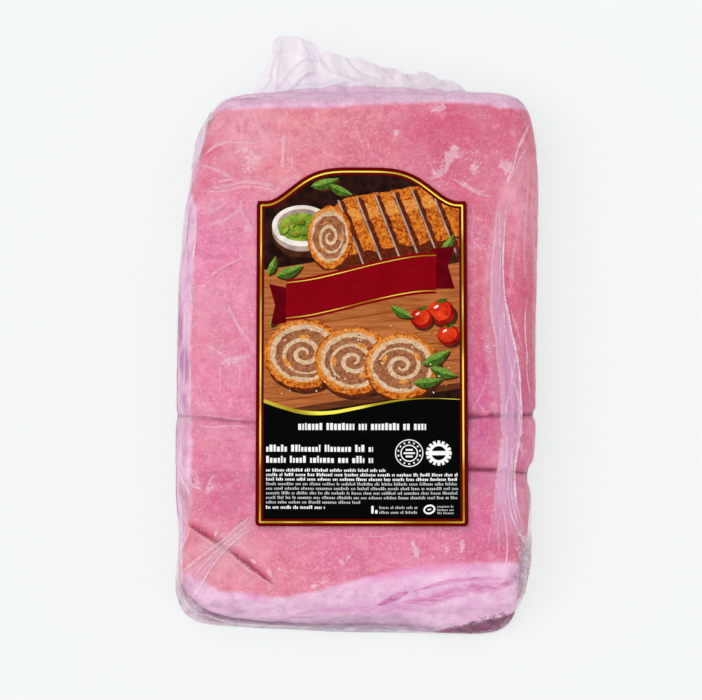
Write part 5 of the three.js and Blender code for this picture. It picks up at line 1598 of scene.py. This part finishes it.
def roast_slice(add, cx, cy, rx, ry, seed, lying):
    """A round cut of rolled roast: crust, fat, lean, and a curl of fat."""
    if lying:
        add("shadow", rough(ellipse(cx + 1.5, cy - 2.2, 1.04 * rx, ry), 0.4, 6, seed))
    add("char", rough(ellipse(cx + 0.4, cy - 0.8, rx, ry), 0.7, 4, seed + 1))
    add("crust", rough(ellipse(cx, cy, rx, 0.97 * ry), 0.7, 3.5, seed + 2))
    add("crust_light", rough(ellipse(cx - 0.03 * rx, cy + 0.05 * ry, 0.9 * rx, 0.87 * ry), 0.7, 3, seed + 3))
    add("fat_band", rough(ellipse(cx, cy + 0.02 * ry, 0.84 * rx, 0.8 * ry), 0.6, 3, seed + 4))
    add("roast_band", rough(ellipse(cx, cy, 0.73 * rx, 0.68 * ry), 0.9, 3.5, seed + 5))
    add("fat_band", curl(cx, cy, 0.64 * rx, 0.94 * ry / rx, 1.9, 0.13 * rx, 0.5 * seed))
    for k in range(3):
        turn = 2.1 * k + seed
        add("crust_light", rough(ellipse(cx + 0.5 * rx * math.cos(turn), cy + 0.48 * ry * math.sin(turn),
                                         0.15 * rx, 0.06 * rx, turn + 1.6), 0.25, 2, seed + 6))


def block_ring(add, cx, cy, radius, count, start, wide, tall):
    """Blocks round a middle, each turned to face it."""
    for k in range(count):
        turn = 2 * math.pi * (k + start) / count
        add("white_print", block(cx + radius * math.cos(turn), cy + radius * math.sin(turn), wide, tall, turn))


def label_shapes():
    """The print, from the bottom up: (colour name, outline, keep inside the inner field)."""
    shapes = [("border", label_outline(0), False), ("gold", label_outline(1.7), False),
              ("border", label_outline(2.45), False), ("dark_field", label_outline(3.6), False)]

    def add(name, outline, keep_in=True):
        outline = np.asarray(outline, float)
        x, y = outline.T
        turning = np.sum(x * np.roll(y, -1) - np.roll(x, -1) * y)
        shapes.append((name, outline if turning > 0 else outline[::-1], keep_in))

    # A board with a dish, a rolled roast, slices of it, leaves and small round fruit.
    tilt = BOARD_TILT
    add("board_edge", block(4, 7.5, 112, 70, tilt, 6))
    add("board", block(4, 9.5, 112, 68, tilt, 6))
    for k, y in enumerate((-22, -14.5, -5, 1.5, 14, 22, 31)):
        add("board_line", rough(block(2 * k - 4, y, 92, 0.55, tilt), 0.12, 7, 50 + k))
    add("shadow", rough(ellipse(-27, 52.5, 14.5, 10.5), 0.4, 6, 60))
    add("cream_shade", ellipse(-28, 55.5, 14, 10.5))
    add("cream", ellipse(-28, 57.5, 14, 10))
    add("cream_shade", ellipse(-28, 57.8, 11.6, 7.9))
    add("olive", ellipse(-28, 56.8, 10.8, 6.8))
    for cx, cy, turn in DISH_FRUIT:
        add("leaf", ellipse(cx + 0.3, cy - 0.5, 2.9, 2.1, turn))
        add("olive", ellipse(cx, cy, 2.7, 1.9, turn))
        add("leaf_light", ellipse(cx - 0.4, cy + 0.5, 1.5, 0.8, turn))
        add("red", ellipse(cx + 1.6 * math.cos(turn), cy + 1.6 * math.sin(turn), 0.55, 0.5))

    add("shadow", rough(block(18, 54.5, 72, 38, tilt, 16), 0.6, 7, 61))
    add("crust", rough(block(17, 57.5, 68, 35, tilt, 16), 0.8, 5, 62))
    add("char", rough(block(18, 44, 56, 7, tilt, 3), 1.6, 5, 63))
    add("crust_light", rough(block(16, 66.5, 50, 6, tilt, 2.8), 1.8, 4, 64))
    for k in range(6):
        cx = -5 + 8.6 * k
        cy = 57.5 + (cx - 17) * math.tan(tilt)
        add("char", rough(block(cx + 1, cy, 2.8, 33.5, tilt + 0.2, 1.3), 0.6, 3, 70 + k))
        add("cream_shade", rough(block(cx, cy, 0.8, 34.5, tilt + 0.2, 0.3), 0.14, 3, 80 + k))
    roast_slice(add, -15, 52, 10.4, 15.6, 90, False)
    for k, (cx, cy, r) in enumerate(SLICES):
        roast_slice(add, cx, cy, r, 0.93 * r, 100 + 10 * k, True)

    for cx, cy, r in ROUND_FRUIT:
        add("shadow", ellipse(cx + 0.22 * r, cy - 0.3 * r, 1.02 * r, 0.9 * r))
        add("red_dark", ellipse(cx, cy, r, r * 0.95))
        add("red", ellipse(cx - 0.1 * r, cy + 0.14 * r, 0.84 * r, 0.78 * r))
        add("cream", ellipse(cx - 0.34 * r, cy + 0.4 * r, 0.2 * r, 0.1 * r, 0.6))
        add("leaf", leaf(cx + 0.1 * r, cy + 0.86 * r, 0.5 * r, 0.16 * r, 0.3)[0])
    for cx, cy, long, turn in LEAVES:
        whole, half = leaf(cx, cy, long, 0.36 * long, turn)
        add("shadow", whole + (0.7, -0.9))
        add("leaf", whole)
        add("leaf_light", half)
    rng = np.random.default_rng(12)
    for k in range(90):
        cx, cy = rng.uniform(-42, 42), rng.uniform(-24, 9)
        add(("char", "cream", "crust")[k % 3], block(cx, cy, rng.uniform(0.4, 0.9), 0.55, rng.uniform(0, 3)))

    swoosh = spread(on_label(SWOOSH), 1.0)
    width = np.interp(swoosh[:, 0], np.linspace(-HALF_LABEL, HALF_LABEL, len(SWOOSH_MM)), SWOOSH_MM)
    floor_line = [(60, -100), (-60, -100)]
    add("gold", np.vstack([swoosh, floor_line]))
    add("black_panel", np.vstack([swoosh - np.stack([0 * width, width], 1), floor_line]))

    for end in RIBBON_ENDS:
        add("ribbon_shade", on_label(end), False)
    far = np.array(RIBBON_FAR, float)
    for name, top, bottom in (("ribbon", 0, RIBBON_DROP), ("gold", 2.6, 3.5),
                              ("gold", RIBBON_DROP - 3.5, RIBBON_DROP - 2.6)):
        upper = spread(on_label(far + (0, top)), 2.0)
        lower = spread(on_label(far + (0, bottom)), 2.0)
        add(name, np.vstack([upper, lower[::-1]]), False)
    for name, x0, x1, y, tall in PRINT_BLOCKS:
        add(name, block((x0 + x1) / 2, y, x1 - x0, tall))
    # Two round seals: plain rings, with blocks round them and across them.
    (x1, y1, r1), (x2, y2, r2) = ((*on_label([middle])[0], radius * PIXEL_MM) for middle, radius in SEALS)
    for name, share in (("white_print", 1), ("black_panel", 0.93), ("white_print", 0.62), ("black_panel", 0.54)):
        add(name, ellipse(x1, y1, r1 * share, r1 * share))
    for dy, wide in ((-0.24, 0.5), (0, 0.8), (0.24, 0.5)):
        add("white_print", block(x1, y1 + dy * r1, wide * r1, 0.13 * r1))
    block_ring(add, x1, y1, 0.78 * r1, 14, 0.5, 0.7, 0.8)
    block_ring(add, x2, y2, 0.84 * r2, 16, 0, 1.7, 1.3)
    for name, share in (("white_print", 0.78), ("black_panel", 0.55)):
        add(name, ellipse(x2, y2, r2 * share, r2 * share))
    add("white_print", block(x2, y2, r2 * 1.9, 2.0))
    # Small plain marks between the last rows.
    for name, wide, tall in (("white_print", 2.8, 2.3), ("black_panel", 2.0, 1.4)):
        add(name, ellipse(*OVAL_MARK, wide, tall, 0.3))
    add("white_print", block(*OVAL_MARK, 1.6, 0.7, 0.3))
    for mark in BLOCK_MARKS:
        add("white_print", block(*mark, 0, 0.4))
    return shapes


def rows_of_print():
    """Rows of small blocks of uneven width and height: (colour, from x, to x, middle y, height)."""
    rng = np.random.default_rng(5)
    blocks = []

    def row(x0, x1, base, tall, name="white_print", uneven=0.34):
        x, left = x0, rng.integers(3, 9)
        while x < x1 - 0.4:
            wide = max(0.42, tall * rng.uniform(0.22, 0.46))
            high = tall * (1 if rng.random() < 0.3 else 1 - uneven * rng.uniform(0.8, 1))
            blocks.append((name, x, min(x + wide, x1), base + high / 2, high))
            x += wide + max(0.3, 0.15 * tall)
            left -= 1
            if left == 0:
                x += 0.4 * tall + 0.15
                left = rng.integers(2, 10)

    row(-29.5, 29.8, -41.2, 3.3, uneven=0.12)
    row(-44.3, 5.2, -51.6, 3.3)
    row(-44.3, 5.2, -56.9, 3.3)
    for k in range(8):
        bold = k < 3
        row(-44.3, {0: 11.0, 7: -0.3}.get(k, 44.5), -61.1 - 2.17 * k, 1.5 if bold else 1.4,
            "white_print" if bold else "grey_print")
    row(-44.3, -17, -78.8, 1.6)
    for base in (-78.7, -81.0):
        row(8.1, 26, base, 1.3, "grey_print")
    for base in (-78.1, -79.7, -81.2):
        row(34.9, 42.9, base, 1.0, "grey_print")
    return blocks


PRINT_BLOCKS = rows_of_print()


def print_material(name):
    """The finish of one colour of the print: satin film with fine mottle."""
    texture, low, high, first, second = PRINT_COLOURS[name]
    n = Nodes("print_" + name)
    size, detail, roughness, distortion, stretch = PRINT_TEXTURES[texture]
    pattern = n.noise(size, detail, roughness, distortion, stretch and n.stretched(*stretch))
    fine = n.noise(0.9, 3, 0.65)
    return n.surface(Base_Color=n.two_tone(pattern, low, high, first, second),
                     Roughness=n.step(fine, 0.3, 0.7, 0.58, 0.7), Specular_IOR_Level=0.02,
                     Normal=n.bump(fine + pattern, 0.05, 0.5))


FIELD_SHAPE = 3  # the print stays inside this one of the label's shapes
PRINT_THICKNESS = 0.3
# Points all over the label, so that it follows the slab's curve, and how far they keep from its edge.
LABEL_GRID = [(x, y) for x in np.arange(-46, 47, 4.0) for y in np.arange(-84, 86, 4.0)]
LABEL_GRID_MARGIN = 1.5
PRINT_SWELL = (0.05, 24, 41)


def label_piece():
    shapes = label_shapes()
    spots, faces = [], []
    for _, outline, _ in shapes:
        faces.append(list(range(len(spots), len(spots) + len(outline))))
        spots.extend(Vector((float(x), float(y))) for x, y in outline)
    edge = shapes[0][1]
    for x, y in LABEL_GRID:
        if region_field(np.array([x]), np.array([y]), edge)[0] > LABEL_GRID_MARGIN:
            spots.append(Vector((float(x), float(y))))
    edges = [(face[k], face[(k + 1) % len(face)]) for face in faces for k in range(len(face))]
    flat, _, triangles, _, _, _ = delaunay_2d_cdt(spots, edges, [], 0, 1e-4)
    plan = np.array([(p.x, p.y) for p in flat])
    middles = plan[np.array([list(triangle) for triangle in triangles])].mean(1)
    colour = np.full(len(middles), -1)
    in_field = region_field(middles[:, 0], middles[:, 1], shapes[FIELD_SHAPE][1]) > 0
    for k, (name, outline, keep_in) in enumerate(shapes):
        low, high = outline.min(0), outline.max(0)
        close = np.where(((middles > low) & (middles < high)).all(1))[0]
        inside = region_field(middles[close, 0], middles[close, 1], outline) > 0
        if keep_in:
            inside &= in_field[close]
        colour[close[inside]] = PRINT.index(name)
    used = [list(triangle) for triangle, k in zip(triangles, colour) if k >= 0]
    x, y = plan[:, 0] + LABEL_CENTRE_X, plan[:, 1]
    top_z = smooth_top(x, y) + LABEL_LIFT + PRINT_THICKNESS + lumpy(level(x, y), PRINT_SWELL)
    points = np.stack([x, y, top_z], 1)
    # The edge turns down to the label's underside.
    sides = dict.fromkeys(pair for triangle in used for pair in zip(triangle, triangle[1:] + triangle[:1]))
    border = [(a, b) for a, b in sides if (b, a) not in sides]
    rim = list({k for pair in border for k in pair})
    low = {a: len(points) + k for k, a in enumerate(rim)}
    points = np.vstack([points, points[rim] - (0, 0, PRINT_THICKNESS)])
    faces = used + [[a, low[a], low[b], b] for a, b in border]
    indices = [int(k) for k in colour if k >= 0] + [PRINT.index("white_print")] * len(border)
    return make_piece("label_print", points, faces, [print_material(name) for name in PRINT],
                      indices=indices, smooth=False)


label = label_piece()
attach(label, "root")
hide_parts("label")

# ---- Floor and light ------------------------------------------------------------------------------

FLOOR_COLOUR = srgb(244, 248, 247)
FLOOR_GLOW, FLOOR_ALBEDO = 0.738, 0.27  # shares of that colour that the floor gives off and reflects
FLOOR_REACH, FLOOR_DROP = 3000, 0.2
WORLD_LIGHT = 0.62


def floor_material():
    n = Nodes("pale_floor")
    pale, duller = ([channel * share for channel in FLOOR_COLOUR[:3]] + [1.0]
                    for share in (FLOOR_ALBEDO, 0.98 * FLOOR_ALBEDO))
    return n.surface(Base_Color=n.mix(n.noise(400, 1), pale, duller), Specular_IOR_Level=0.0,
                     Roughness=n.step(n.noise(50, 2), 0.3, 0.7, 0.85, 0.95),
                     Emission_Color=FLOOR_COLOUR, Emission_Strength=FLOOR_GLOW)


floor = make_piece("floor", [(FLOOR_REACH * x, FLOOR_REACH * y, -FLOOR_DROP)
                             for x, y in ((-1, -1), (1, -1), (1, 1), (-1, 1))], [(0, 1, 2, 3)], [floor_material()])

world = bpy.data.worlds.new("studio")
world.use_nodes = True
world.node_tree.nodes["Background"].inputs["Color"].default_value = (1, 1, 1, 1)
world.node_tree.nodes["Background"].inputs["Strength"].default_value = WORLD_LIGHT
bpy.context.scene.world = world


def soft_sun(name, towards, strength, spread_degrees):
    data = bpy.data.lights.new(name, "SUN")
    data.energy, data.angle = strength, math.radians(spread_degrees)
    lamp = bpy.data.objects.new(name, data)
    lamp.rotation_mode = "QUATERNION"
    lamp.rotation_quaternion = Vector(towards).to_track_quat("-Z", "Y")
    bpy.context.scene.collection.objects.link(lamp)


soft_sun("key", (0.5, 0.25, -1.0), 1.15, 50)
soft_sun("fill", (-0.4, 0.8, -1.0), 0.35, 70)

# ---- Last update of the scene ---------------------------------------------------------------------

bpy.context.view_layer.update()
